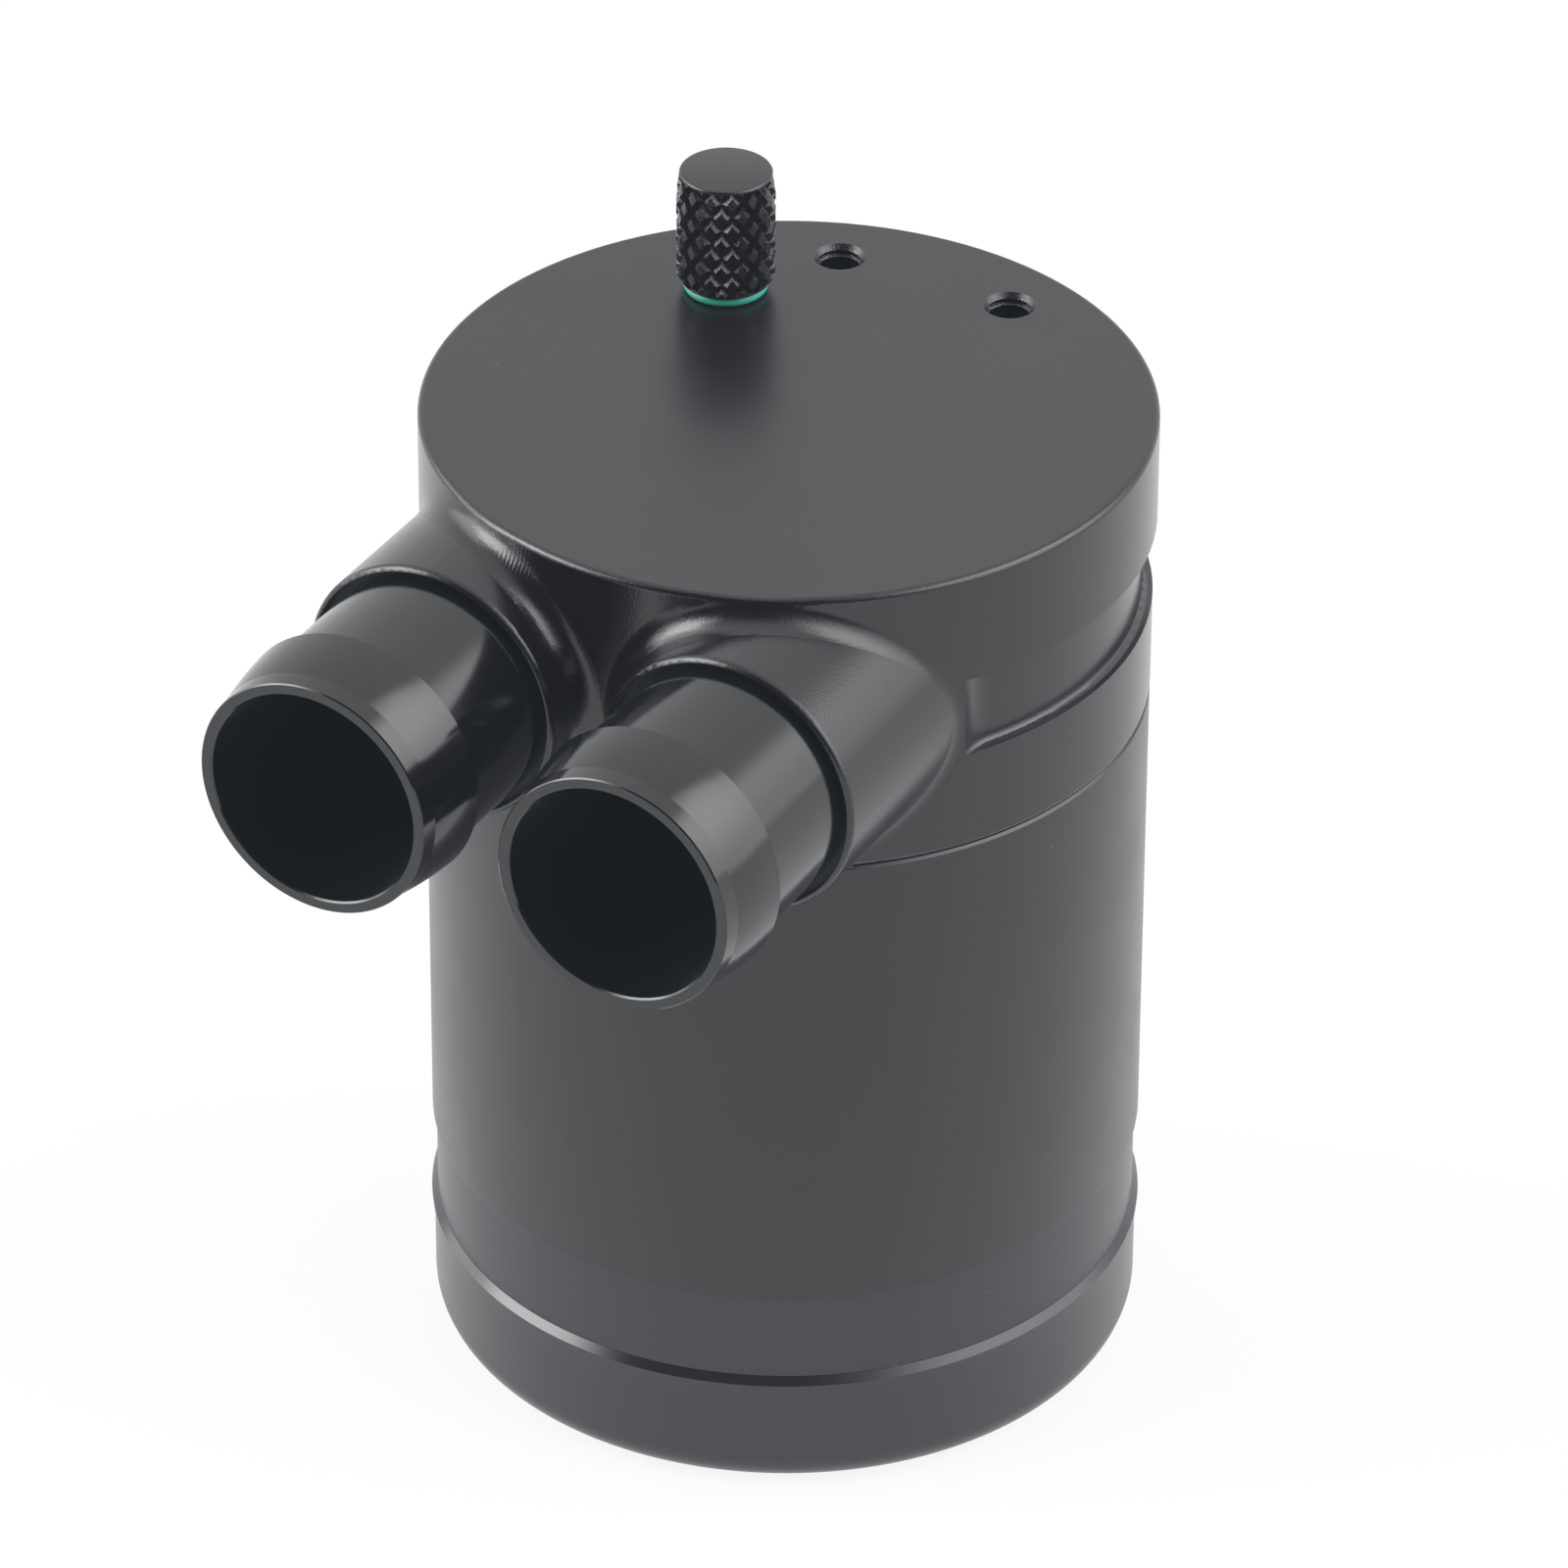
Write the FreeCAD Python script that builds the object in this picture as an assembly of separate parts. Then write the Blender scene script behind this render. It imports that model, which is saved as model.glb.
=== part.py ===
import FreeCAD, Part
import math
import os

from FreeCAD import Vector

# Two-port oil catch can with a screw-off base, a dipstick and a baffle stack.
# Millimetres. The origin is the centre of the base's underside, +Z is up,
# and both hose fittings point along -Y.

# Whole can
can_height = 127.4            # underside of the base to the head's top face
head_height = 37.5            # head's top face to its joint with the tube
head_radius = 44.0
tube_radius = 43.25
tube_wall = 4.25
cap_height = 16.6             # underside of the base to the rim of the base cap

# Named clearances
thread_clearance = 0.05       # radial, between a male thread and its hole
press_clearance = 0.03        # radial, between a pressed piece and its bore
stud_clearance = 0.15         # radial, between the stud and what is slid over it
seal_clearance = 0.05         # round a seal in its groove
seat_gap = 0.05               # between two faces that a screwed joint closes
baffle_clearance = 0.4        # between a baffle or the mesh and what passes it
mesh_clearance = 0.8          # between the mesh and the tube

# Cutting
cut_overrun = 1.0             # how far a cutter runs past the face that it cuts
match_tolerance = 0.01        # for finding an edge by its place

# Head, turned and milled from one billet
head_edge_radius = 0.8        # rounding of the top and bottom edges
head_foot_start = 39.5        # bottom rounding runs round the back, from here in degrees from -Y
spigot_length = 10.0          # reaches down inside the tube
spigot_wall = 5.95            # round the hollow under the head
pocket_height = 12.0          # from the spigot's end up to the pocket's roof
groove_depth = 1.8            # groove milled into the head's side
groove_top_depth = 14.1       # below the top face
groove_height = 10.5
groove_fillet = 0.8
groove_cutter_radius = 8.0
groove_cutter_margin = 0.4    # between the cutter and the side of a boss
lower_ring_step = 0.35        # how much smaller the head is below the groove
lower_ring_margin = 0.2       # between that step and the foot of a boss's fillet

# Bosses and hose fittings
port_offset = 19.93           # each port's axis from the can's middle plane
port_depth = 19.35            # below the head's top face
boss_radius = 16.6
boss_reach = 6.0              # boss face beyond the head's side
boss_fillet = 3.2
boss_rim_fillet = 0.8
seal_recess_radius = 16.0
seal_recess_depth = 3.0
fitting_reach = 26.1          # fitting's mouth beyond the boss face
fitting_bore_radius = 13.5
fitting_wall = 1.5
fitting_thread_inset = 0.05   # thread's crest inside the shank's radius
fitting_thread_length = 7.0
nose_length = 2.4
nose_flare = 0.15             # how much wider the nose is where it meets the barb
barb_step = 1.2               # barb's rear edge above the shank
barb_length = 7.8             # nose to the barb's sharp rear edge
barb_bulge = 0.14             # how far the barb's flank stands out from a straight cone
barb_back_length = 0.8
fitting_edge_chamfer = 0.15
fitting_bore_chamfer = 0.2    # at the mouth
undercut_depth = 0.45
undercut_length = 1.5
port_seal_section = 1.3
passage_radius = 12.5         # bore in the head behind each fitting
passage_length = 50.0         # boss face to the end of the bore
outlet_drop_radius = 9.0      # vertical bore between the pocket and the outlet
drop_inset = 11.132           # both vertical bores' axes, from the side of the pocket
drop_bearing = 24.303         # both vertical bores, degrees forward of the X axis

# Bracket holes, drawn at the thread's outer diameter
bolt_spacing = 23.4
bolt_row_y = 33.3
bolt_radius = 3.0
bolt_hole_depth = 12.0
bolt_mouth_chamfer = 0.12
drill_tip_angle = 118.0

# Dipstick
dipstick_inset = 4.716        # axis from the side of the pocket under the head
dipstick_bearing = 135.0      # degrees round from +X
knob_height = 15.0
knob_collar_radius = 5.7
knob_collar_height = 1.1
knob_collar_fillet = 0.3
knurl_radius = 6.0
knurl_depth = 0.5
knurl_diamond_count = 14      # diamonds round the knob
knurl_row_count = 7           # half diamonds from end to end
knob_foot_radius = 5.4
knob_foot_height = 0.5
knob_spigot_radius = 3.9
knob_spigot_length = 8.0
knob_hole_spare = 2.0         # room below the knob's spigot in its threaded hole
rod_radius = 1.5
rod_socket_depth = 6.0
rod_end_gap = 5.0             # above the floor of the base cap
rod_hole_clearance = 0.7      # radial, round the rod in the head
rod_mark_depth = 0.3
rod_mark_width = 1.0
low_mark_height = 11.0        # above the floor of the base cap
high_mark_height = 31.0
dipstick_seal_section = 1.2

# Tube
tube_edge_chamfer = 0.5
neck_step = 0.75              # turned-down stretch above the base cap
neck_length = 11.3
tube_thread_wall = 2.3        # between the tube's bore and its thread's crest

# Base cap
cap_step = 0.25               # how much wider the cap is than the tube
cap_lip_step = 0.3            # the faint lip at the rim, beyond the cap's side
cap_rim_chamfer = 0.7
cap_lip_taper_height = 3.4
cap_floor = 5.0
cap_foot_fillet = 2.5
base_seal_thickness = 1.8

# Head seal
head_seal_section = 1.5
head_seal_drop = 5.8          # foot of the seal below the joint

# Baffle stack, hung from the head on one stud
downpipe_radius = 8.0
downpipe_wall = 1.2
downpipe_collar_step = 2.5
downpipe_collar_thickness = 2.0
downpipe_top_rise = 3.0       # above the pocket's roof
downpipe_overhang = 8.5       # below the lower baffle
stud_radius = 2.5
stud_thread_depth = 8.0
stud_overhang = 1.0           # below the nut
spacer_wall = 2.35
baffle_gap = 6.4              # between the spigot's end and the upper baffle
baffle_thickness = 1.5
mesh_thickness = 18.0
baffle_hole_radius = 3.2
baffle_web = 4.0              # least metal between a small hole and a large one
baffle_ring_pitch = 9.5       # between the rings of small holes
baffle_hole_spacing = 14.0    # along a ring
washer_wall = 3.35
washer_thickness = 1.0
nut_across_flats = 8.0
nut_thickness = 4.0

# Radii that follow from the sizes above
tube_inner_radius = tube_radius - tube_wall
tube_thread_radius = tube_inner_radius + tube_thread_wall
neck_radius = tube_radius - neck_step
spigot_radius = tube_inner_radius - thread_clearance
pocket_radius = spigot_radius - spigot_wall
seal_groove_radius = tube_inner_radius - head_seal_section - 2 * seal_clearance
groove_radius = head_radius - groove_depth
lower_ring_radius = head_radius - lower_ring_step
fitting_radius = fitting_bore_radius + fitting_wall
fitting_thread_radius = fitting_radius - fitting_thread_inset
undercut_radius = fitting_radius - undercut_depth
cap_radius = tube_radius + cap_step
cap_lip_radius = cap_radius + cap_lip_step
baffle_radius = tube_inner_radius - baffle_clearance
mesh_radius = tube_inner_radius - mesh_clearance
rod_hole_radius = rod_radius + rod_hole_clearance
bolt_hole_radius = bolt_radius + thread_clearance
stud_hole_radius = stud_radius + thread_clearance
sleeve_inner_radius = stud_radius + stud_clearance
spacer_radius = sleeve_inner_radius + spacer_wall
washer_radius = sleeve_inner_radius + washer_wall

# Places that follow
top_z = can_height
joint_z = can_height - head_height
spigot_end_z = joint_z - spigot_length
pocket_roof_z = spigot_end_z + pocket_height
groove_floor_z = top_z - groove_top_depth - groove_height
port_z = can_height - port_depth
boss_face_y = -head_radius - boss_reach
fitting_mouth_y = boss_face_y - fitting_reach
passage_end_y = boss_face_y + passage_length
drop_ring_radius = pocket_radius - drop_inset
drop_x = drop_ring_radius * math.cos(math.radians(drop_bearing))
drop_y = -drop_ring_radius * math.sin(math.radians(drop_bearing))
dipstick_ring_radius = pocket_radius - dipstick_inset
dipstick_x = dipstick_ring_radius * math.cos(math.radians(dipstick_bearing))
dipstick_y = dipstick_ring_radius * math.sin(math.radians(dipstick_bearing))
tube_end_z = cap_floor + base_seal_thickness + 2 * seat_gap
neck_foot_z = cap_height + seat_gap
knob_foot_z = top_z + dipstick_seal_section + 2 * seal_clearance
knob_spigot_end_z = knob_foot_z - knob_spigot_length
upper_baffle_z = spigot_end_z - baffle_gap - baffle_thickness
mesh_foot_z = upper_baffle_z - mesh_thickness
lower_baffle_z = mesh_foot_z - baffle_thickness
nut_top_z = lower_baffle_z - washer_thickness
nut_foot_z = nut_top_z - nut_thickness

AXIS_Z = Vector(0, 0, 1)
AXIS_Y = Vector(0, 1, 0)
ORIGIN = Vector(0, 0, 0)
BACK = 90.0                   # degrees round from +X to +Y, where no seam shows


def cylinder(radius, low, high, x=0.0, y=0.0):
    """Upright cylinder between two heights, with its seam at the back."""
    solid = Part.makeCylinder(radius, high - low, Vector(x, y, low), AXIS_Z)
    solid.rotate(Vector(x, y, 0), AXIS_Z, BACK)
    return solid


def port_cylinder(radius, x, y_from, y_to):
    """Cylinder along a port's axis."""
    return Part.makeCylinder(radius, y_to - y_from, Vector(x, y_from, port_z), AXIS_Y)


def line(a, b):
    """Straight edge between two points (radius, height) of a half section."""
    return Part.makeLine(Vector(a[0], 0, a[1]), Vector(b[0], 0, b[1]))


def arc(a, through, b):
    """Arc edge through three points (radius, height) of a half section."""
    points = [Vector(p[0], 0, p[1]) for p in (a, through, b)]
    return Part.Arc(*points).toShape()


def turned(edges, degrees=360.0, start=BACK):
    """Solid of revolution about Z from the edges of a closed half section."""
    face = Part.Face(Part.Wire(edges))
    solid = face.revolve(ORIGIN, AXIS_Z, degrees)
    solid.rotate(ORIGIN, AXIS_Z, start)
    return solid


def outline(points):
    """Straight edges round a closed list of points."""
    return [line(a, b) for a, b in zip(points, points[1:] + points[:1])]


def quarter_round(centre, radius, start_degrees):
    """Quarter arc of a half section, counter-clockwise from start_degrees."""
    points = []
    for step in (0.0, 45.0, 90.0):
        angle = math.radians(start_degrees + step)
        r = centre[0] + radius * math.cos(angle)
        z = centre[1] + radius * math.sin(angle)
        points.append((r, z))
    return points


def o_ring(section, inner_radius, middle_z, x, y):
    """Seal ring with a round section, lying flat."""
    major = inner_radius + section / 2
    return Part.makeTorus(major, section / 2, Vector(x, y, middle_z), AXIS_Z)


def flat_ring(inner_radius, outer_radius, low, high):
    """Upright ring with a rectangular section."""
    bore = cylinder(inner_radius, low - cut_overrun, high + cut_overrun)
    return cylinder(outer_radius, low, high).cut(bore)


def largest_solid(shape):
    """The one solid that a cut or a fuse leaves."""
    return max(shape.Solids, key=lambda solid: solid.Volume)


# Head

def boss_seam_edges(shape):
    """Edges where a boss leaves the head's round side."""
    seams = []
    for edge in shape.Edges:
        middle = edge.valueAt((edge.FirstParameter + edge.LastParameter) / 2)
        from_can_axis = math.hypot(middle.x, middle.y)
        from_port_axis = math.hypot(abs(middle.x) - port_offset, middle.z - port_z)
        on_head = abs(from_can_axis - head_radius) < match_tolerance
        on_boss = abs(from_port_axis - boss_radius) < match_tolerance
        if on_head and on_boss and middle.y < 0:
            seams.append(edge)
    return seams


def head_blank():
    """Round billet with the two bosses blended into its side."""
    spare = 2 * boss_fillet
    blank = cylinder(head_radius, joint_z - spare, top_z + spare)
    for x in (-port_offset, port_offset):
        boss = port_cylinder(boss_radius, x, boss_face_y, 0)
        rim = [edge for edge in boss.Edges
               if abs(edge.CenterOfMass.y - boss_face_y) < match_tolerance]
        blank = blank.fuse(boss.makeFillet(boss_rim_fillet, rim))
    blank = blank.makeFillet(boss_fillet, boss_seam_edges(blank))
    reach = head_radius + boss_reach + cut_overrun
    keep = Part.makeBox(2 * reach, 2 * reach, head_height, Vector(-reach, -reach, joint_z))
    blank = blank.common(keep)
    top_rim = [edge for edge in blank.Edges
               if abs(edge.CenterOfMass.z - top_z) < match_tolerance]
    return blank.makeFillet(head_edge_radius, top_rim)


def boss_foot(x):
    """Solid along Y round the curve where a boss's fillet meets the head's side."""
    squeeze = head_radius / (head_radius + boss_fillet)
    reach = boss_radius + boss_fillet + lower_ring_margin
    centre = Vector(x * squeeze, 0, port_z)
    upper = centre + Vector(0, 0, reach)
    side = centre + Vector(reach * squeeze, 0, 0)
    face = Part.Face(Part.Wire(Part.Ellipse(upper, side, centre).toShape()))
    return face.extrude(Vector(0, -head_radius - cut_overrun, 0))


def lower_ring_cutter():
    """Ring that the head loses below the groove, up to the feet of the bosses' fillets."""
    ring = flat_ring(lower_ring_radius, head_radius + cut_overrun, joint_z - cut_overrun, groove_floor_z)
    depth = head_radius + cut_overrun
    between = Part.makeBox(2 * port_offset, depth, head_height, Vector(-port_offset, -depth, joint_z))
    return ring.cut([boss_foot(-port_offset), boss_foot(port_offset), between])


def head_foot_cutter():
    """Rounding of the head's bottom edge round the back, as what is cut away."""
    middle = (lower_ring_radius - head_edge_radius, joint_z + head_edge_radius)
    start, through, end = quarter_round(middle, head_edge_radius, -90.0)
    outer = head_radius + cut_overrun
    low = joint_z - cut_overrun
    edges = [arc(start, through, end)]
    points = [end, (outer, end[1]), (outer, low), (start[0], low), start]
    edges += [line(a, b) for a, b in zip(points, points[1:])]
    return turned(edges, 360.0 - 2 * head_foot_start, head_foot_start - 90.0)


def groove_section(radius_of):
    """Closed half section of the groove's cutter; radius_of maps depth to radius."""
    top = top_z - groove_top_depth
    floor = groove_floor_z
    wall = radius_of(groove_radius)
    fillet_start = radius_of(groove_radius + groove_fillet)
    outer = radius_of(groove_radius + groove_cutter_radius)
    slant = groove_fillet * (1 - math.sqrt(0.5))
    through = (radius_of(groove_radius + slant), floor + slant)
    return [
        line((wall, top), (outer, top)),
        line((outer, top), (outer, floor)),
        line((outer, floor), (fillet_start, floor)),
        arc((fillet_start, floor), through, (wall, floor + groove_fillet)),
        line((wall, floor + groove_fillet), (wall, top)),
    ]


def groove_cutters():
    """Sweep of the cutter round the back of the head, and its round run-outs."""
    cutter_axis = groove_radius + groove_cutter_radius
    boss_side = port_offset + boss_radius + groove_cutter_radius + groove_cutter_margin
    end_angle = math.degrees(math.asin(boss_side / cutter_axis))
    start = end_angle - 90.0
    sweep = turned(groove_section(lambda radius: radius), 360.0 - 2 * end_angle, start)
    run_outs = []
    for side in (-1, 1):
        run_out = turned(groove_section(lambda radius: cutter_axis - radius))
        angle = math.radians(end_angle)
        x = side * cutter_axis * math.sin(angle)
        y = -cutter_axis * math.cos(angle)
        run_out.translate(Vector(x, y, 0))
        run_outs.append(run_out)
    return [sweep] + run_outs


def tapped_hole(x, y):
    """Blind bracket hole with a drilled tip and a broken edge at its mouth."""
    tip = bolt_hole_radius / math.tan(math.radians(drill_tip_angle / 2))
    points = [
        (0, top_z + cut_overrun),
        (bolt_hole_radius + bolt_mouth_chamfer + cut_overrun, top_z + cut_overrun),
        (bolt_hole_radius, top_z - bolt_mouth_chamfer),
        (bolt_hole_radius, top_z - bolt_hole_depth),
        (0, top_z - bolt_hole_depth - tip),
    ]
    hole = turned(outline(points))
    hole.translate(Vector(x, y, 0))
    return hole


def port_bore(x):
    """Stepped bore of a boss: seal recess, thread and passage."""
    recess_end = boss_face_y + seal_recess_depth
    recess = port_cylinder(seal_recess_radius, x, boss_face_y - cut_overrun, recess_end)
    thread_radius = fitting_thread_radius + thread_clearance
    thread = port_cylinder(thread_radius, x, boss_face_y, recess_end + fitting_thread_length)
    passage = port_cylinder(passage_radius, x, boss_face_y, passage_end_y)
    return recess.fuse([thread, passage])


def head():
    """Head with its groove, ports, pocket, bracket holes and dipstick hole."""
    body = head_blank().cut([lower_ring_cutter(), head_foot_cutter()] + groove_cutters())
    spigot = cylinder(spigot_radius, spigot_end_z, joint_z)
    groove_low = joint_z - head_seal_drop - seal_clearance
    groove_high = groove_low + head_seal_section + 2 * seal_clearance
    groove_outer = spigot_radius + cut_overrun
    seal_groove = flat_ring(seal_groove_radius, groove_outer, groove_low, groove_high)
    body = body.fuse(spigot.cut(seal_groove))
    below_roof = pocket_roof_z - cut_overrun
    cuts = [cylinder(pocket_radius, spigot_end_z - cut_overrun, pocket_roof_z)]
    for x in (-port_offset, port_offset):
        cuts.append(port_bore(x))
    inlet_drop_radius = downpipe_radius + press_clearance
    cuts.append(cylinder(inlet_drop_radius, below_roof, port_z, -drop_x, drop_y))
    cuts.append(cylinder(outlet_drop_radius, below_roof, port_z, drop_x, drop_y))
    for x in (-bolt_spacing / 2, bolt_spacing / 2):
        cuts.append(tapped_hole(x, bolt_row_y))
    cuts.append(cylinder(stud_hole_radius, below_roof, pocket_roof_z + stud_thread_depth))
    knob_hole_radius = knob_spigot_radius + thread_clearance
    knob_hole_low = knob_spigot_end_z - knob_hole_spare
    above_top = top_z + cut_overrun
    cuts.append(cylinder(knob_hole_radius, knob_hole_low, above_top, dipstick_x, dipstick_y))
    cuts.append(cylinder(rod_hole_radius, below_roof, top_z, dipstick_x, dipstick_y))
    return largest_solid(body.cut(cuts))


# Hose fittings

def fitting(x):
    """Hose fitting: barb, shank, seal undercut and threaded end, turned round one bore."""
    length = fitting_reach + seal_recess_depth + fitting_thread_length
    thread_start = length - fitting_thread_length
    undercut_start = thread_start - undercut_length
    barb_end = nose_length + barb_length
    nose_radius = fitting_radius + nose_flare
    barb_radius = fitting_radius + barb_step
    middle = ((nose_radius + barb_radius) / 2 + barb_bulge, nose_length + barb_length / 2)
    before = [
        (fitting_bore_radius, length),
        (fitting_bore_radius, fitting_bore_chamfer),
        (fitting_bore_radius + fitting_bore_chamfer, 0),
        (fitting_radius - fitting_edge_chamfer, 0),
        (fitting_radius, fitting_edge_chamfer),
        (nose_radius, nose_length),
    ]
    after = [
        (barb_radius, barb_end),
        (fitting_radius, barb_end + barb_back_length),
        (fitting_radius, undercut_start),
        (undercut_radius, undercut_start),
        (undercut_radius, thread_start),
        (fitting_thread_radius, thread_start),
        (fitting_thread_radius, length),
        (fitting_bore_radius, length),
    ]
    edges = [line(a, b) for a, b in zip(before, before[1:])]
    edges.append(arc(before[-1], middle, after[0]))
    edges += [line(a, b) for a, b in zip(after, after[1:])]
    solid = turned(edges)
    solid.rotate(ORIGIN, Vector(1, 0, 0), -90)
    solid.translate(Vector(x, fitting_mouth_y, port_z))
    return solid


def port_seal(x):
    """Square-cut seal at the bottom of a boss's recess, round the fitting's undercut."""
    inner = undercut_radius + seal_clearance
    seal = flat_ring(inner, inner + port_seal_section, 0, port_seal_section)
    seal.rotate(ORIGIN, Vector(1, 0, 0), 90)
    seal.translate(Vector(x, boss_face_y + seal_recess_depth - seal_clearance, port_z))
    return seal


# Tube and base cap

def can_tube():
    """Tube with a turned-down neck and a male thread at its lower end."""
    neck_top = neck_foot_z + neck_length
    points = [
        (tube_inner_radius, tube_end_z),
        (tube_thread_radius, tube_end_z),
        (tube_thread_radius, neck_foot_z),
        (neck_radius, neck_foot_z),
        (neck_radius, neck_top),
        (tube_radius, neck_top),
        (tube_radius, joint_z - tube_edge_chamfer),
        (tube_radius - tube_edge_chamfer, joint_z),
        (tube_inner_radius, joint_z),
    ]
    return turned(outline(points))


def base_cap():
    """Screw-off cup with a bevelled rim, a faint lip and a rounded foot."""
    bore = tube_thread_radius + thread_clearance
    lip_z = cap_height - cap_rim_chamfer
    corner = (cap_radius - cap_foot_fillet, cap_foot_fillet)
    start, through, end = quarter_round(corner, cap_foot_fillet, -90.0)
    edges = [line((0, 0), start), arc(start, through, end)]
    points = [
        end,
        (cap_radius, lip_z - cap_lip_taper_height),
        (cap_lip_radius, lip_z),
        (cap_lip_radius - cap_rim_chamfer, cap_height),
        (bore, cap_height),
        (bore, cap_floor),
        (0, cap_floor),
        (0, 0),
    ]
    edges += [line(a, b) for a, b in zip(points, points[1:])]
    return turned(edges)


# Dipstick

def knurled_band(low, high):
    """Diamond knurl: a closed shell of four-sided pyramids wrapped round a barrel."""
    columns = 2 * knurl_diamond_count
    row_height = (high - low) / knurl_row_count

    def corner(column, row):
        """Peaks and valleys alternate like the squares of a chessboard."""
        radius = knurl_radius if (column + row) % 2 else knurl_radius - knurl_depth
        angle = 2 * math.pi * (column % columns) / columns
        return Vector(radius * math.cos(angle), radius * math.sin(angle), low + row * row_height)

    def facet(*corners):
        points = [corner(*c) for c in corners]
        return Part.Face(Part.makePolygon(points + points[:1]))

    facets = []
    for column in range(columns):
        for row in range(knurl_row_count):
            near, far = (column, row), (column + 1, row)
            above, beyond = (column, row + 1), (column + 1, row + 1)
            if (column + row) % 2:
                facets += [facet(near, far, above), facet(far, beyond, above)]
            else:
                facets += [facet(near, far, beyond), facet(near, beyond, above)]
    for row in (0, knurl_row_count):
        facets.append(facet(*[(column, row) for column in range(columns)]))
    return Part.Solid(Part.Shell(facets))


def dipstick_knob():
    """Knurled knob with a plain collar on top and a threaded spigot below."""
    top = knob_foot_z + knob_height
    knurl_low = knob_foot_z + knob_foot_height
    knurl_high = top - knob_collar_height
    collar = cylinder(knob_collar_radius, knurl_high, top)
    rim = [edge for edge in collar.Edges if abs(edge.CenterOfMass.z - top) < match_tolerance]
    collar = collar.makeFillet(knob_collar_fillet, rim)
    foot = cylinder(knob_foot_radius, knob_foot_z, knurl_low)
    spigot = cylinder(knob_spigot_radius, knob_spigot_end_z, knob_foot_z)
    knob = knurled_band(knurl_low, knurl_high).fuse([collar, foot, spigot])
    socket_radius = rod_radius + press_clearance
    socket_top = knob_spigot_end_z + rod_socket_depth
    knob = knob.cut(cylinder(socket_radius, knob_spigot_end_z - cut_overrun, socket_top))
    knob.translate(Vector(dipstick_x, dipstick_y, 0))
    return largest_solid(knob)


def dipstick_rod():
    """Rod with two turned oil marks and a rounded tip."""
    rod_top = knob_spigot_end_z + rod_socket_depth
    tip_z = cap_floor + rod_end_gap
    start, through, end = quarter_round((0, tip_z + rod_radius), rod_radius, -90.0)
    edges = [arc(start, through, end)]
    points = [end]
    mark_radius = rod_radius - rod_mark_depth
    for height in (low_mark_height, high_mark_height):
        low = cap_floor + height
        high = low + rod_mark_width
        points += [(rod_radius, low), (mark_radius, low), (mark_radius, high), (rod_radius, high)]
    points += [(rod_radius, rod_top), (0, rod_top), start]
    edges += [line(a, b) for a, b in zip(points, points[1:])]
    rod = turned(edges)
    rod.translate(Vector(dipstick_x, dipstick_y, 0))
    return rod


def dipstick_seal():
    """Green O-ring between the knob and the head's top face."""
    middle = top_z + seal_clearance + dipstick_seal_section / 2
    inner = knob_spigot_radius + seal_clearance
    return o_ring(dipstick_seal_section, inner, middle, dipstick_x, dipstick_y)


# Baffle stack

def stack_holes(low, high):
    """Holes that every disc of the stack has for the stud, the downpipe and the rod."""
    return [
        cylinder(sleeve_inner_radius, low, high),
        cylinder(downpipe_radius + baffle_clearance, low, high, -drop_x, drop_y),
        cylinder(rod_hole_radius + baffle_clearance, low, high, dipstick_x, dipstick_y),
    ]


def baffle(low):
    """Drilled disc, with no small hole where a larger one or the spacer is."""
    disc = cylinder(baffle_radius, low, low + baffle_thickness)
    reach = baffle_hole_radius + baffle_web
    below = low - cut_overrun
    above = low + baffle_thickness + cut_overrun
    holes = stack_holes(below, above)
    ring_radius = baffle_radius - baffle_hole_radius - baffle_web
    while ring_radius > washer_radius + baffle_hole_radius:
        places = int(2 * math.pi * ring_radius / baffle_hole_spacing)
        for place in range(places):
            angle = 2 * math.pi * (place + 0.5) / places
            x = ring_radius * math.cos(angle)
            y = ring_radius * math.sin(angle)
            from_downpipe = math.hypot(x + drop_x, y - drop_y)
            from_rod = math.hypot(x - dipstick_x, y - dipstick_y)
            near_downpipe = from_downpipe < downpipe_radius + reach
            near_rod = from_rod < rod_hole_radius + reach
            if not near_downpipe and not near_rod:
                holes.append(cylinder(baffle_hole_radius, below, above, x, y))
        ring_radius -= baffle_ring_pitch
    return largest_solid(disc.cut(holes))


def filter_mesh():
    """Pad of knitted wire between the baffles, as its outer shape."""
    pad = cylinder(mesh_radius, mesh_foot_z, upper_baffle_z)
    return pad.cut(stack_holes(mesh_foot_z - cut_overrun, upper_baffle_z + cut_overrun))


def inlet_downpipe():
    """Pipe that leads the inlet's flow below the baffles, with a collar at the roof."""
    low = lower_baffle_z - downpipe_overhang
    high = pocket_roof_z + downpipe_top_rise
    bore_radius = downpipe_radius - downpipe_wall
    collar_radius = downpipe_radius + downpipe_collar_step
    collar = cylinder(collar_radius, pocket_roof_z - downpipe_collar_thickness, pocket_roof_z)
    pipe = cylinder(downpipe_radius, low, high).fuse(collar).removeSplitter()
    pipe = pipe.cut(cylinder(bore_radius, low - cut_overrun, high + cut_overrun))
    pipe.translate(Vector(-drop_x, drop_y, 0))
    return pipe


def baffle_stud():
    """Stud screwed into the head's pocket roof."""
    return cylinder(stud_radius, nut_foot_z - stud_overhang, pocket_roof_z + stud_thread_depth)


def baffle_nut():
    """Hexagon nut under the washer."""
    corner_radius = nut_across_flats / 2 / math.cos(math.radians(30))
    corners = []
    for corner in range(7):
        angle = math.radians(60 * corner)
        x = corner_radius * math.cos(angle)
        y = corner_radius * math.sin(angle)
        corners.append(Vector(x, y, nut_foot_z))
    body = Part.Face(Part.makePolygon(corners)).extrude(Vector(0, 0, nut_thickness))
    return body.cut(cylinder(stud_hole_radius, nut_foot_z - cut_overrun, nut_top_z + cut_overrun))


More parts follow.
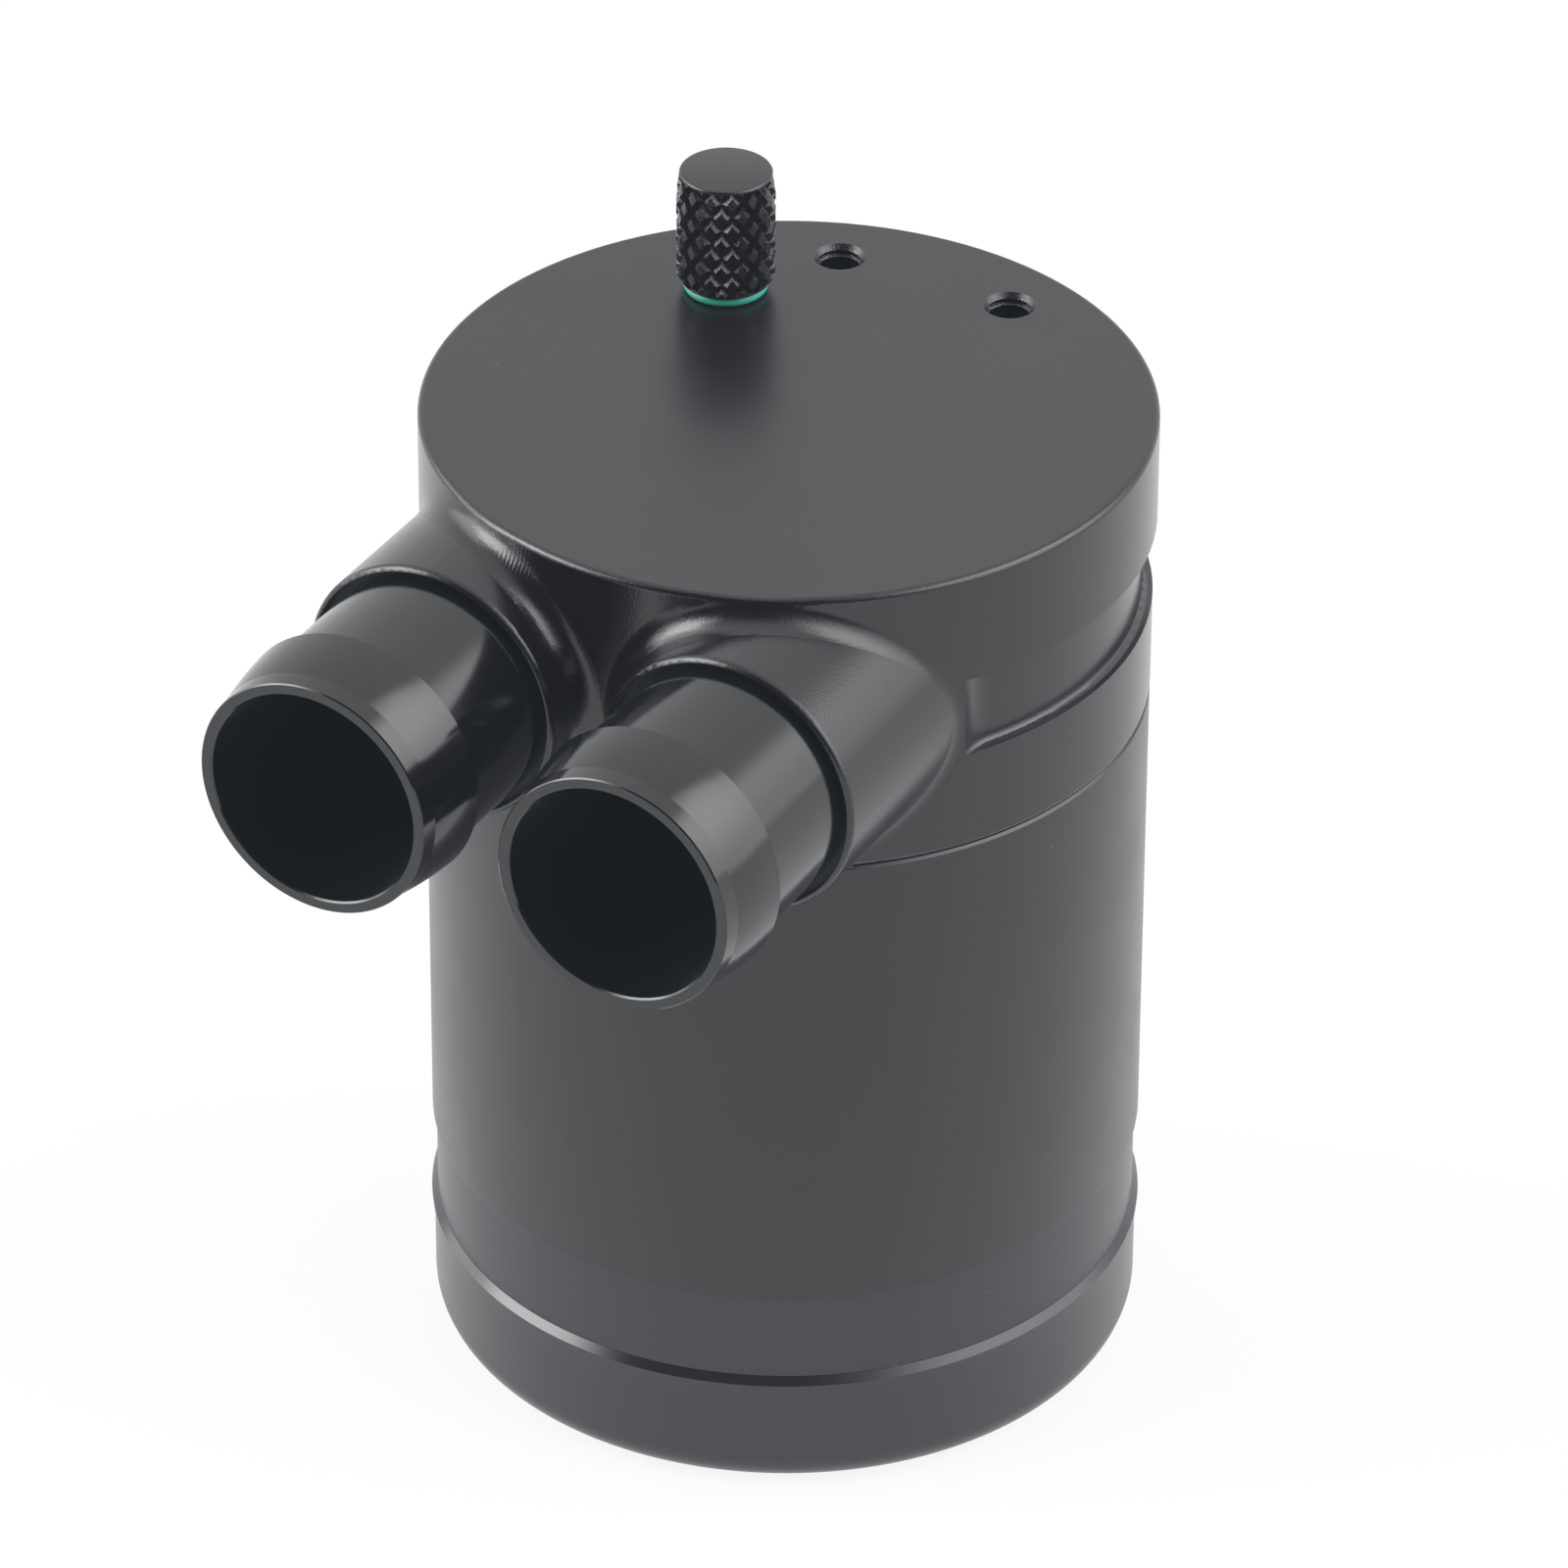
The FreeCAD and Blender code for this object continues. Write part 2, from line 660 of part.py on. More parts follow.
def subparts():
    """Every piece of the can by its name."""
    head_seal_low = joint_z - head_seal_drop
    head_seal_high = head_seal_low + head_seal_section
    head_seal_inner = seal_groove_radius + seal_clearance
    head_seal_outer = head_seal_inner + head_seal_section
    base_seal_low = cap_floor + seat_gap
    base_seal_high = base_seal_low + base_seal_thickness
    spacer_low = upper_baffle_z + baffle_thickness
    return {
        "head": head(),
        "inlet_fitting": fitting(-port_offset),
        "outlet_fitting": fitting(port_offset),
        "inlet_seal": port_seal(-port_offset),
        "outlet_seal": port_seal(port_offset),
        "dipstick_knob": dipstick_knob(),
        "dipstick_rod": dipstick_rod(),
        "dipstick_seal": dipstick_seal(),
        "can_tube": can_tube(),
        "head_seal": flat_ring(head_seal_inner, head_seal_outer, head_seal_low, head_seal_high),
        "base_cap": base_cap(),
        "base_seal": flat_ring(tube_inner_radius, tube_thread_radius, base_seal_low, base_seal_high),
        "inlet_downpipe": inlet_downpipe(),
        "upper_baffle": baffle(upper_baffle_z),
        "lower_baffle": baffle(lower_baffle_z),
        "filter_mesh": filter_mesh(),
        "baffle_stud": baffle_stud(),
        "baffle_spacer": flat_ring(sleeve_inner_radius, spacer_radius, spacer_low, pocket_roof_z),
        "baffle_washer": flat_ring(sleeve_inner_radius, washer_radius, nut_top_z, lower_baffle_z),
        "baffle_nut": baffle_nut(),
    }


os.makedirs("parts", exist_ok=True)
for name, shape in subparts().items():
    shape.exportStep(os.path.join("parts", name + ".step"))
    print(name, "solids", len(shape.Solids), "valid", shape.isValid(), "volume", round(shape.Volume, 1))
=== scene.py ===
# %% [markdown]
# # An oil catch can in black anodised aluminium
# The object is a small tank for a car's engine bay. Its head is machined from one billet, two
# hose fittings stick out at the front, and a knurled dipstick stands on top. The exact shapes
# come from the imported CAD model, so this lesson is about what the eye sees: satin and polished
# black, the knurl, the screw threads and a white studio.

import math

import bmesh
import bpy
from mathutils import Matrix, Vector


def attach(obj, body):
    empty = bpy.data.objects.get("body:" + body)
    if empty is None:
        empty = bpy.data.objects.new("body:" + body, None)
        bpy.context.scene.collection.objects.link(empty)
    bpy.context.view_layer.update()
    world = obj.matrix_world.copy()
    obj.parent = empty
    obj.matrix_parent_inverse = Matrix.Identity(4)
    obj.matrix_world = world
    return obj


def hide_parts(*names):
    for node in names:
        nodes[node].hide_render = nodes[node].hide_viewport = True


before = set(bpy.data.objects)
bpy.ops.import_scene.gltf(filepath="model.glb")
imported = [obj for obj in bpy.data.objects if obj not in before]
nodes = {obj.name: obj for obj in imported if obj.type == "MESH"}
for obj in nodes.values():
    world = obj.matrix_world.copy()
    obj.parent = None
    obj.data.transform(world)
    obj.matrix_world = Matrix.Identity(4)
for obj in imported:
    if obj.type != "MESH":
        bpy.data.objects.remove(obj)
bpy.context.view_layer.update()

# %% [markdown]
# ## The camera
# The photograph is a product shot from about 33 degrees above, taken from far away with a long
# lens, so the can's sides stay almost parallel. Placing the camera by its azimuth, elevation and
# distance from a point on the can's axis keeps each number meaningful.

# %% Camera
AIM = Vector((-0.00031, -0.00018, 0.07367))
AZIMUTH = math.radians(29.28)
ELEVATION = math.radians(33.02)
DISTANCE = 1.2478
ROLL = math.radians(0.28)


def add_camera():
    """A long lens on the line through AIM, turned by ROLL about its own axis."""
    data = bpy.data.cameras.new("camera")
    data.sensor_width = 36.0
    data.lens = 236.25
    data.clip_end = 20.0
    camera = bpy.data.objects.new("camera", data)
    bpy.context.scene.collection.objects.link(camera)
    flat = math.cos(ELEVATION)
    back = Vector((math.sin(AZIMUTH) * flat, -math.cos(AZIMUTH) * flat, math.sin(ELEVATION)))
    turn = back.to_track_quat("Z", "Y").to_matrix() @ Matrix.Rotation(ROLL, 3, "Z")
    camera.matrix_world = Matrix.Translation(AIM + DISTANCE * back) @ turn.to_4x4()
    bpy.context.scene.camera = camera
    return camera


camera = add_camera()
print("camera at", [round(v, 4) for v in camera.matrix_world.translation])

# %% [markdown]
# ## Colour and node helpers
# Colours are written as sRGB hex, as a colour picker gives them, and turned to linear light once.
# A material is a small graph, so one helper feeds a node's inputs and one adds a node.

# %% Helpers for colour and nodes
MM = 0.001


def linear(hex_colour):
    """An sRGB hex colour as linear RGBA."""
    channels = [int(hex_colour[i:i + 2], 16) / 255 for i in (1, 3, 5)]
    return [c / 12.92 if c <= 0.04045 else ((c + 0.055) / 1.055) ** 2.4 for c in channels] + [1.0]


def feed(tree, node, **inputs):
    """Links a socket or sets a value; an input goes by name, with _ for a space, or as _number."""
    for name, value in inputs.items():
        key = int(name[1:]) if name[0] == "_" else name.replace("_", " ")
        socket = node.inputs[key]
        if isinstance(value, bpy.types.NodeSocket):
            tree.links.new(value, socket)
        else:
            socket.default_value = value


def add_node(tree, kind, settings=None, **inputs):
    """A new node with its settings, and with its inputs fed."""
    node = tree.nodes.new(kind)
    for name, value in (settings or {}).items():
        setattr(node, name, value)
    feed(tree, node, **inputs)
    return node


def new_material(name):
    """An empty material with a Principled shader on its output."""
    material = bpy.data.materials.new(name)
    material.use_nodes = True
    tree = material.node_tree
    tree.nodes.clear()
    shader = add_node(tree, "ShaderNodeBsdfPrincipled")
    add_node(tree, "ShaderNodeOutputMaterial", Surface=shader.outputs["BSDF"])
    return material, tree, shader


def coordinates(tree):
    """Object coordinates in millimetres, so that a pattern's scale is one over its real size."""
    place = add_node(tree, "ShaderNodeTexCoord")
    scaled = add_node(tree, "ShaderNodeVectorMath", {"operation": "SCALE"},
                      _0=place.outputs["Object"], Scale=1 / MM)
    return scaled.outputs["Vector"]


print("hex #808080 is", round(linear("#808080")[0], 3), "in linear light")

# %% [markdown]
# ## Satin black anodising
# The cap and the neck are painted a paler black: painted light from the white floor near the base.
# Anodising grows a hard, clear oxide on aluminium, and black dye fills its pores. The eye sees a
# dark dielectric skin, not bare metal: faint reflections head-on and strong ones at a grazing
# angle, which is why the can's sides turn pale. A Principled shader with metallic left at zero and
# the oxide's index of refraction does that. Bead blasting before the bath gives the satin. Its
# grain is about 0.05 mm, too fine to show, so it is drawn at 0.3 mm. Where a surface was cut
# after the blasting it looks different, and a band of heights says where. The round end of the
# cutter also left a fan of fine rings where it ran out beside the -X boss.
#
# Nothing in the photograph is darker than a soft blue-black, not even deep inside the hose
# fittings, because the white background scatters in the lens and lays a veil over the black. A
# glow of one part in a hundred stands for that veil. The dye itself is nearly black.

# %% Satin black anodising
OXIDE_IOR = 1.62
VEIL = linear("#191d20")
# The paler black is painted light: it stands for the white floor lighting the cap and the neck.
BLACK_DYE, PAINTED_FLOOR_LIGHT = "#110b13", "#241f27"
BLAST_GRAIN = 0.3                       # mm
BLAST_ROUGHNESS = 0.29, 0.33            # it drifts between these
SHEEN_CLOUD = 14.0                      # mm, how far the roughness takes to drift
NOISE_LOW, NOISE_HIGH = 0.3, 0.7        # where nearly all of a noise lies
DUST = "#6e6e6c"                        # the colour of a speck
DUST_SPACING = 3.5                      # mm, between the places where a speck may lie
DUST_SHARE = 0.12                       # of those places have one
DUST_SIZE = 0.03                        # of the spacing
BUMP_DEPTH = 0.1                        # mm
BLAST_BUMP = 0.03                       # of that depth
MARKS_CENTRE = (-22.0, -46.0, 127.0)    # mm, the middle of the rings
MARKS_PITCH = 0.5                       # mm
MARKS_DEPTH = 0.3                       # of the grain's
MARKS_PLACE = (-12.2, -42.7, 124.8)     # mm, where they are deepest
MARKS_FULL, MARKS_REACH = 1.2, 3.4      # mm from there, to where they start to fade and end
HEAD_FOOT, HEAD_TOP = 80.0, 127.4       # mm
NECK_FOOT, NECK_TOP = 16.4, 27.95       # mm
CAP_LIP, CAP_RIM = 15.35, 16.35         # mm


def cutter_marks(tree, place):
    """How high the rings of the cutter's round end stand, fading out round their place."""
    from_centre = add_node(tree, "ShaderNodeVectorMath", {"operation": "DISTANCE"},
                           _0=place, _1=MARKS_CENTRE)
    angle = add_node(tree, "ShaderNodeMath", {"operation": "MULTIPLY"},
                     _0=from_centre.outputs["Value"], _1=2 * math.pi / MARKS_PITCH)
    ring = add_node(tree, "ShaderNodeMath", {"operation": "SINE"}, _0=angle.outputs["Value"])
    from_place = add_node(tree, "ShaderNodeVectorMath", {"operation": "DISTANCE"},
                          _0=place, _1=MARKS_PLACE)
    fade = add_node(tree, "ShaderNodeMapRange", _0=from_place.outputs["Value"],
                    _1=MARKS_FULL, _2=MARKS_REACH, _3=MARKS_DEPTH, _4=0.0)
    return add_node(tree, "ShaderNodeMath", {"operation": "MULTIPLY"},
                    _0=ring.outputs["Value"], _1=fade.outputs["Result"]).outputs["Value"]


def satin_black(name, dye_and_painted_light, cut_from, cut_to, cut_dye_and_painted_light, cut_roughness, cut_bump):
    """Dyed oxide over blasted aluminium, with a band of heights in mm that was cut afterwards; a
    paler black is painted light.
    """
    material, tree, shader = new_material(name)
    place = coordinates(tree)
    grain = add_node(tree, "ShaderNodeTexNoise", Vector=place, Scale=1 / BLAST_GRAIN, Detail=2.0)
    cloud = add_node(tree, "ShaderNodeTexNoise", Vector=place, Scale=1 / SHEEN_CLOUD, Detail=1.0)
    sheen = add_node(tree, "ShaderNodeMapRange", _0=cloud.outputs["Fac"],
                     _1=NOISE_LOW, _2=NOISE_HIGH, _3=BLAST_ROUGHNESS[0], _4=BLAST_ROUGHNESS[1])
    height = add_node(tree, "ShaderNodeSeparateXYZ", Vector=place)
    cut = add_node(tree, "ShaderNodeMath", {"operation": "COMPARE"}, _0=height.outputs["Z"],
                   _1=(cut_from + cut_to) / 2, _2=(cut_to - cut_from) / 2)
    rough = add_node(tree, "ShaderNodeMix", _0=cut.outputs["Value"],
                     _2=sheen.outputs["Result"], _3=cut_roughness)
    uneven = add_node(tree, "ShaderNodeMix", _0=cut.outputs["Value"], _2=BLAST_BUMP, _3=cut_bump)
    relief = add_node(tree, "ShaderNodeMath", {"operation": "ADD"}, _0=grain.outputs["Fac"],
                      _1=cutter_marks(tree, place))
    bump = add_node(tree, "ShaderNodeBump", Strength=uneven.outputs[0], Distance=BUMP_DEPTH * MM,
                    Height=relief.outputs["Value"])
    # The paler black that the cap and the neck band get here is painted light from the white
    # floor.
    skin = add_node(tree, "ShaderNodeMix", {"data_type": "RGBA"}, _0=cut.outputs["Value"],
                    _6=linear(dye_and_painted_light), _7=linear(cut_dye_and_painted_light))
    cells = add_node(tree, "ShaderNodeTexVoronoi", Vector=place, Scale=1 / DUST_SPACING)
    near = add_node(tree, "ShaderNodeMath", {"operation": "LESS_THAN"},
                    _0=cells.outputs["Distance"], _1=DUST_SIZE)
    pick = add_node(tree, "ShaderNodeSeparateColor", Color=cells.outputs["Color"])
    rare = add_node(tree, "ShaderNodeMath", {"operation": "LESS_THAN"},
                    _0=pick.outputs["Red"], _1=DUST_SHARE)
    speck = add_node(tree, "ShaderNodeMath", {"operation": "MULTIPLY"},
                     _0=near.outputs["Value"], _1=rare.outputs["Value"])
    colour = add_node(tree, "ShaderNodeMix", {"data_type": "RGBA"}, _0=speck.outputs["Value"],
                      _6=skin.outputs[2], _7=linear(DUST))
    feed(tree, shader, Base_Color=colour.outputs[2], Roughness=rough.outputs[0], IOR=OXIDE_IOR,
         Normal=bump.outputs["Normal"], Emission_Color=VEIL, Emission_Strength=1.0)
    return material


milled_head = satin_black("satin_black_with_milled_sides", dye_and_painted_light=BLACK_DYE,
                          cut_from=HEAD_FOOT, cut_to=HEAD_TOP - 0.1,
                          cut_dye_and_painted_light=BLACK_DYE, cut_roughness=0.2, cut_bump=0.25)
# The neck band and the whole cap are painted a paler black: painted light from the white floor.
necked_tube = satin_black("satin_black_with_a_turned_neck", dye_and_painted_light=BLACK_DYE,
                          cut_from=NECK_FOOT, cut_to=NECK_TOP,
                          cut_dye_and_painted_light=PAINTED_FLOOR_LIGHT, cut_roughness=0.31, cut_bump=BLAST_BUMP)
bevelled_cap = satin_black("satin_black_with_a_turned_bevel", dye_and_painted_light=PAINTED_FLOOR_LIGHT,
                           cut_from=CAP_LIP, cut_to=CAP_RIM,
                           cut_dye_and_painted_light=PAINTED_FLOOR_LIGHT, cut_roughness=0.13, cut_bump=BLAST_BUMP)
print("satin black made for the head, the tube and the cap")

# %% [markdown]
# ## Polished black anodising
# The hose fittings were turned on a lathe and not blasted, so they mirror the studio more
# sharply. The tool left fine rings round them, one for each turn of the lathe. The rings blur a
# reflection along the axis and not round it, so the shine is anisotropic. At 0.05 mm they are too
# fine to show, so the bump draws them 0.3 mm apart.

# %% Polished black anodising
TURNING_PITCH = 0.3                     # mm
TURNING_DEPTH, TURNING_BUMP = 0.02, 0.06    # mm, and of that depth
POLISHED_DYE, POLISHED_ROUGHNESS = "#0b0a0c", 0.13
ACROSS_THE_RINGS = 0.25                 # of a whole turn


def polished_black(name):
    """Dyed oxide over turned aluminium; the fittings lie along Y, so the rings follow Y."""
    material, tree, shader = new_material(name)
    along = add_node(tree, "ShaderNodeSeparateXYZ", Vector=coordinates(tree))
    rings = add_node(tree, "ShaderNodeTexNoise", {"noise_dimensions": "1D"},
                     W=along.outputs["Y"], Scale=1 / TURNING_PITCH, Detail=2.0)
    bump = add_node(tree, "ShaderNodeBump", Strength=TURNING_BUMP, Distance=TURNING_DEPTH * MM,
                    Height=rings.outputs["Fac"])
    round_it = add_node(tree, "ShaderNodeTangent", {"direction_type": "RADIAL", "axis": "Y"})
    feed(tree, shader, Base_Color=linear(POLISHED_DYE), Roughness=POLISHED_ROUGHNESS,
         IOR=OXIDE_IOR, Anisotropic=0.35, Anisotropic_Rotation=ACROSS_THE_RINGS,
         Tangent=round_it.outputs["Tangent"], Normal=bump.outputs["Normal"],
         Emission_Color=VEIL, Emission_Strength=1.0)
    return material


polished = polished_black("polished_black_anodised_aluminium")
print("polished black made")

# %% [markdown]
# ## Knurled black anodising
# A knurl is pressed, not cut, so its metal is torn and its walls glitter unevenly. A fine uneven
# bump over a fairly sharp shine does that. The knob's flat end was turned smooth after the
# pressing. The tapped bracket holes are as uneven as the knurl.

# %% Knurled black anodising
KNOB_TOP = 143.7                        # mm
TORN_GRAIN, TORN_DEPTH = 0.3, 0.2       # mm
TORN_BUMP, TURNED_BUMP = 0.45, 0.01     # of that depth
TORN_ROUGHNESS, TURNED_ROUGHNESS = 0.13, 0.3


def knurled_black(name, smooth_above):
    """Dyed oxide over pressed or tapped aluminium, turned smooth above the given height in mm."""
    material, tree, shader = new_material(name)
    place = coordinates(tree)
    height = add_node(tree, "ShaderNodeSeparateXYZ", Vector=place)
    smooth = add_node(tree, "ShaderNodeMath", {"operation": "GREATER_THAN"},
                      _0=height.outputs["Z"], _1=smooth_above)
    rough = add_node(tree, "ShaderNodeMix", _0=smooth.outputs["Value"],
                     _2=TORN_ROUGHNESS, _3=TURNED_ROUGHNESS)
    uneven = add_node(tree, "ShaderNodeMix", _0=smooth.outputs["Value"],
                      _2=TORN_BUMP, _3=TURNED_BUMP)
    torn = add_node(tree, "ShaderNodeTexNoise", Vector=place, Scale=1 / TORN_GRAIN, Detail=3.0)
    bump = add_node(tree, "ShaderNodeBump", Strength=uneven.outputs[0], Distance=TORN_DEPTH * MM,
                    Height=torn.outputs["Fac"])
    feed(tree, shader, Base_Color=linear(BLACK_DYE), Roughness=rough.outputs[0], IOR=OXIDE_IOR,
         Normal=bump.outputs["Normal"], Emission_Color=VEIL, Emission_Strength=1.0)
    return material


knurled = knurled_black("knurled_black_anodised_aluminium", KNOB_TOP - 0.2)
print("knurled black made")

# %% [markdown]
# ## Rubber
# Seals are moulded nitrile or silicone rubber: no metal under the skin, a broad weak shine and a
# skin that is never quite even.

# %% Rubber
RUBBER_WAVE, RUBBER_DEPTH = 0.8, 0.03   # mm
RUBBER_BUMP = 0.15                      # of that depth


def rubber(name, hex_colour, roughness):
    """Moulded rubber with the faint waviness of its mould."""
    material, tree, shader = new_material(name)
    skin = add_node(tree, "ShaderNodeTexNoise", Vector=coordinates(tree), Scale=1 / RUBBER_WAVE,
                    Detail=3.0)
    bump = add_node(tree, "ShaderNodeBump", Strength=RUBBER_BUMP, Distance=RUBBER_DEPTH * MM,
                    Height=skin.outputs["Fac"])
    feed(tree, shader, Base_Color=linear(hex_colour), Roughness=roughness, IOR=1.5,
         Normal=bump.outputs["Normal"], Emission_Color=VEIL, Emission_Strength=1.0)
    return material


green_rubber = rubber("green_silicone_rubber", "#38a996", roughness=0.35)
black_rubber = rubber("black_nitrile_rubber", "#262626", roughness=0.55)
print("rubber made")

# %% [markdown]
# ## Bare metal inside
# The baffles and the downpipe are plain aluminium, and the rod, stud and nut are stainless steel.
# Both are real metals, so metallic is one and the colour is the colour of their reflections.

# %% Bare metal
SCRATCH_WIDTH, SCRATCH_DEPTH = 0.4, 0.02    # mm
SCRATCH_BUMP = 0.12                     # of that depth
SCRATCH_ROUGHNESS = 0.06                # more or less than the metal's own


def bare_metal(name, hex_colour, roughness, streak):
    """Metal with fine scratches; a streak factor below one draws them out along that axis."""
    material, tree, shader = new_material(name)
    stretched = add_node(tree, "ShaderNodeVectorMath", {"operation": "MULTIPLY"},
                         _0=coordinates(tree), _1=streak)
    marks = add_node(tree, "ShaderNodeTexNoise", Vector=stretched.outputs["Vector"],
                     Scale=1 / SCRATCH_WIDTH, Detail=3.0)
    rough = add_node(tree, "ShaderNodeMapRange", _0=marks.outputs["Fac"],
                     _1=NOISE_LOW, _2=NOISE_HIGH,
                     _3=roughness - SCRATCH_ROUGHNESS, _4=roughness + SCRATCH_ROUGHNESS)
    bump = add_node(tree, "ShaderNodeBump", Strength=SCRATCH_BUMP, Distance=SCRATCH_DEPTH * MM,
                    Height=marks.outputs["Fac"])
    feed(tree, shader, Base_Color=linear(hex_colour), Metallic=1.0,
         Roughness=rough.outputs["Result"], Normal=bump.outputs["Normal"])
    return material


sheet_aluminium = bare_metal("sheet_aluminium", "#d4d5d8", roughness=0.34,
                             streak=(0.15, 1.0, 1.0))
stainless = bare_metal("turned_stainless_steel", "#c3c1bd", roughness=0.24,
                       streak=(0.3, 0.3, 1.0))
print("bare metal made")

# %% [markdown]
# ## Knitted wire
# The filter pad is stainless wire of about 0.25 mm, knitted into a sleeve and rolled up. Its
# loops are about 2 mm wide. The eye sees bright crossing strands over gaps in shade, so two
# crossed waves make both the bump and a painted shade, dark grey, between the strands.

# %% Knitted wire
KNIT_LOOP, WIRE_DEPTH = 2.0, 0.25       # mm
WAVE_SCALE = 0.31                       # a band, and the gap beside it, are then about one wide


def knitted_wire(name):
    """Two crossed sets of wire strands, with painted shade in the gaps between them."""
    material, tree, shader = new_material(name)
    place = coordinates(tree)
    strands = []
    for direction in ((1.0, 1.0, 1.0), (1.0, 1.0, -1.0)):
        turned = add_node(tree, "ShaderNodeVectorMath", {"operation": "MULTIPLY"},
                          _0=place, _1=direction)
        wave = add_node(tree, "ShaderNodeTexWave", {"bands_direction": "DIAGONAL"},
                        Vector=turned.outputs["Vector"], Scale=WAVE_SCALE / KNIT_LOOP,
                        Distortion=3.0, Detail=1.0, Detail_Scale=0.6)
        strands.append(wave.outputs["Fac"])
    top = add_node(tree, "ShaderNodeMath", {"operation": "MAXIMUM"}, _0=strands[0], _1=strands[1])
    # The dark grey between the strands is painted shade; the pale grey is the steel itself.
    colour = add_node(tree, "ShaderNodeMix", {"data_type": "RGBA"}, _0=top.outputs["Value"],
                      _6=linear("#2a2a2a"), _7=linear("#cbc9c4"))
    bump = add_node(tree, "ShaderNodeBump", Strength=0.9, Distance=WIRE_DEPTH * MM,
                    Height=top.outputs["Value"])
    feed(tree, shader, Base_Color=colour.outputs[2], Metallic=1.0, Roughness=0.35,
         Normal=bump.outputs["Normal"])
    return material


wire = knitted_wire("knitted_stainless_wire")
print("knitted wire made")

# %% Finishes given to the CAD pieces
FINISHES = {
    necked_tube: ["can_tube"],
    bevelled_cap: ["base_cap"],
    milled_head: ["head"],
    polished: ["inlet_fitting", "outlet_fitting"],
    knurled: ["dipstick_knob"],
    green_rubber: ["dipstick_seal"],
    black_rubber: ["inlet_seal", "outlet_seal", "head_seal", "base_seal"],
    sheet_aluminium: ["inlet_downpipe", "upper_baffle", "lower_baffle"],
    stainless: ["dipstick_rod", "baffle_stud", "baffle_spacer", "baffle_washer", "baffle_nut"],
    wire: ["filter_mesh"],
}

for material, names in FINISHES.items():
    for name in names:
        for material_slot in nodes[name].material_slots:
            material_slot.material = material
print("finished", sum(len(names) for names in FINISHES.values()), "CAD pieces")

# %% [markdown]
# ## Turned pieces, finished by Geometry Nodes
# The knob, the tube, the cap and the lining of each bracket hole are round, so each starts as a
# turned blank: half a section, spun about an upright axis, as a lathe makes it. What repeats round
# a blank, a knurl or a screw thread, follows a rule, and a Geometry Nodes tree makes it from named
# sizes. The result becomes a plain mesh, because only plain meshes ride on a body and export.

# %% The lathe
def turned_blank(name, outline, centre=(0.0, 0.0), sides=192):
    """Spins a closed outline of (radius, height) points in mm; radius zero is a pole."""
    vertices, rings, faces = [], [], []
    for radius, height in outline:
        count = sides if radius > 0 else 1
        rings.append([len(vertices) + i % count for i in range(sides)])
        for i in range(count):
            angle = 2 * math.pi * i / sides
            x = centre[0] + radius * math.cos(angle)
            y = centre[1] + radius * math.sin(angle)
            vertices.append(MM * Vector((x, y, height)))
    for lower, upper in zip(rings, rings[1:] + rings[:1]):
        for i in range(sides):
            j = (i + 1) % sides
            corners = list(dict.fromkeys([lower[i], lower[j], upper[j], upper[i]]))
            if len(corners) > 2:
                faces.append(corners)
    mesh = bpy.data.meshes.new(name)
    mesh.from_pydata(vertices, [], faces)
    blank = bpy.data.objects.new(name, mesh)
    bpy.context.scene.collection.objects.link(blank)
    return blank


def rounded(centre, radius, start, end, steps=4):
    """Points of an arc in a half section, about its centre, between two angles in degrees."""
    points = []
    for step in range(steps + 1):
        angle = math.radians(start + (end - start) * step / steps)
        points.append((centre[0] + radius * math.cos(angle), centre[1] + radius * math.sin(angle)))
    return points


print("a lathe for blanks is ready")

# %% Trees with named sizes
SHARP_ANGLE = math.radians(25)


def new_tree(name, sizes):
    """A Geometry Nodes tree with an input for each named size; returns it and its inputs."""
    tree = bpy.data.node_groups.new(name, "GeometryNodeTree")
    tree.interface.new_socket("Geometry", in_out="OUTPUT", socket_type="NodeSocketGeometry")
    tree.interface.new_socket("Geometry", in_out="INPUT", socket_type="NodeSocketGeometry")
    for size, kind in sizes.items():
        tree.interface.new_socket(size, in_out="INPUT", socket_type="NodeSocket" + kind)
    tree.interface.new_socket("Material", in_out="INPUT", socket_type="NodeSocketMaterial")
    return tree, add_node(tree, "NodeGroupInput").outputs


def end_tree(tree, inputs, geometry):
    """Joins the blank and what was made, realizes it and gives it the material."""
    joined = add_node(tree, "GeometryNodeJoinGeometry", Geometry=inputs["Geometry"])
    tree.links.new(geometry, joined.inputs["Geometry"])
    real = add_node(tree, "GeometryNodeRealizeInstances", Geometry=joined.outputs["Geometry"])
    dressed = add_node(tree, "GeometryNodeSetMaterial", Geometry=real.outputs["Geometry"],
                       Material=inputs["Material"])
    add_node(tree, "NodeGroupOutput", Geometry=dressed.outputs["Geometry"])


def finished_piece(blank, material, tree, **sizes):
    """Runs a tree on a blank, and leaves one plain mesh with crisp edges and outward faces."""
    modifier = blank.modifiers.new(tree.name, "NODES")
    modifier.node_group = tree
    sizes["Material"] = material
    for item in tree.interface.items_tree:
        key = item.name.replace(" ", "_")
        if item.in_out == "INPUT" and key in sizes:
            modifier[item.identifier] = sizes[key]
    graph = bpy.context.evaluated_depsgraph_get()
    result = bpy.data.meshes.new_from_object(blank.evaluated_get(graph))
    blank.modifiers.remove(modifier)
    result.materials.clear()
    result.materials.append(material)
    blank.data = result
    shape = bmesh.new()
    shape.from_mesh(result)
    bmesh.ops.recalc_face_normals(shape, faces=shape.faces)
    shape.to_mesh(result)
    shape.free()
    result.shade_smooth()
    result.set_sharp_from_angle(angle=SHARP_ANGLE)
    print(blank.name, len(result.polygons), "faces")
    return blank


print("trees can be built and run")

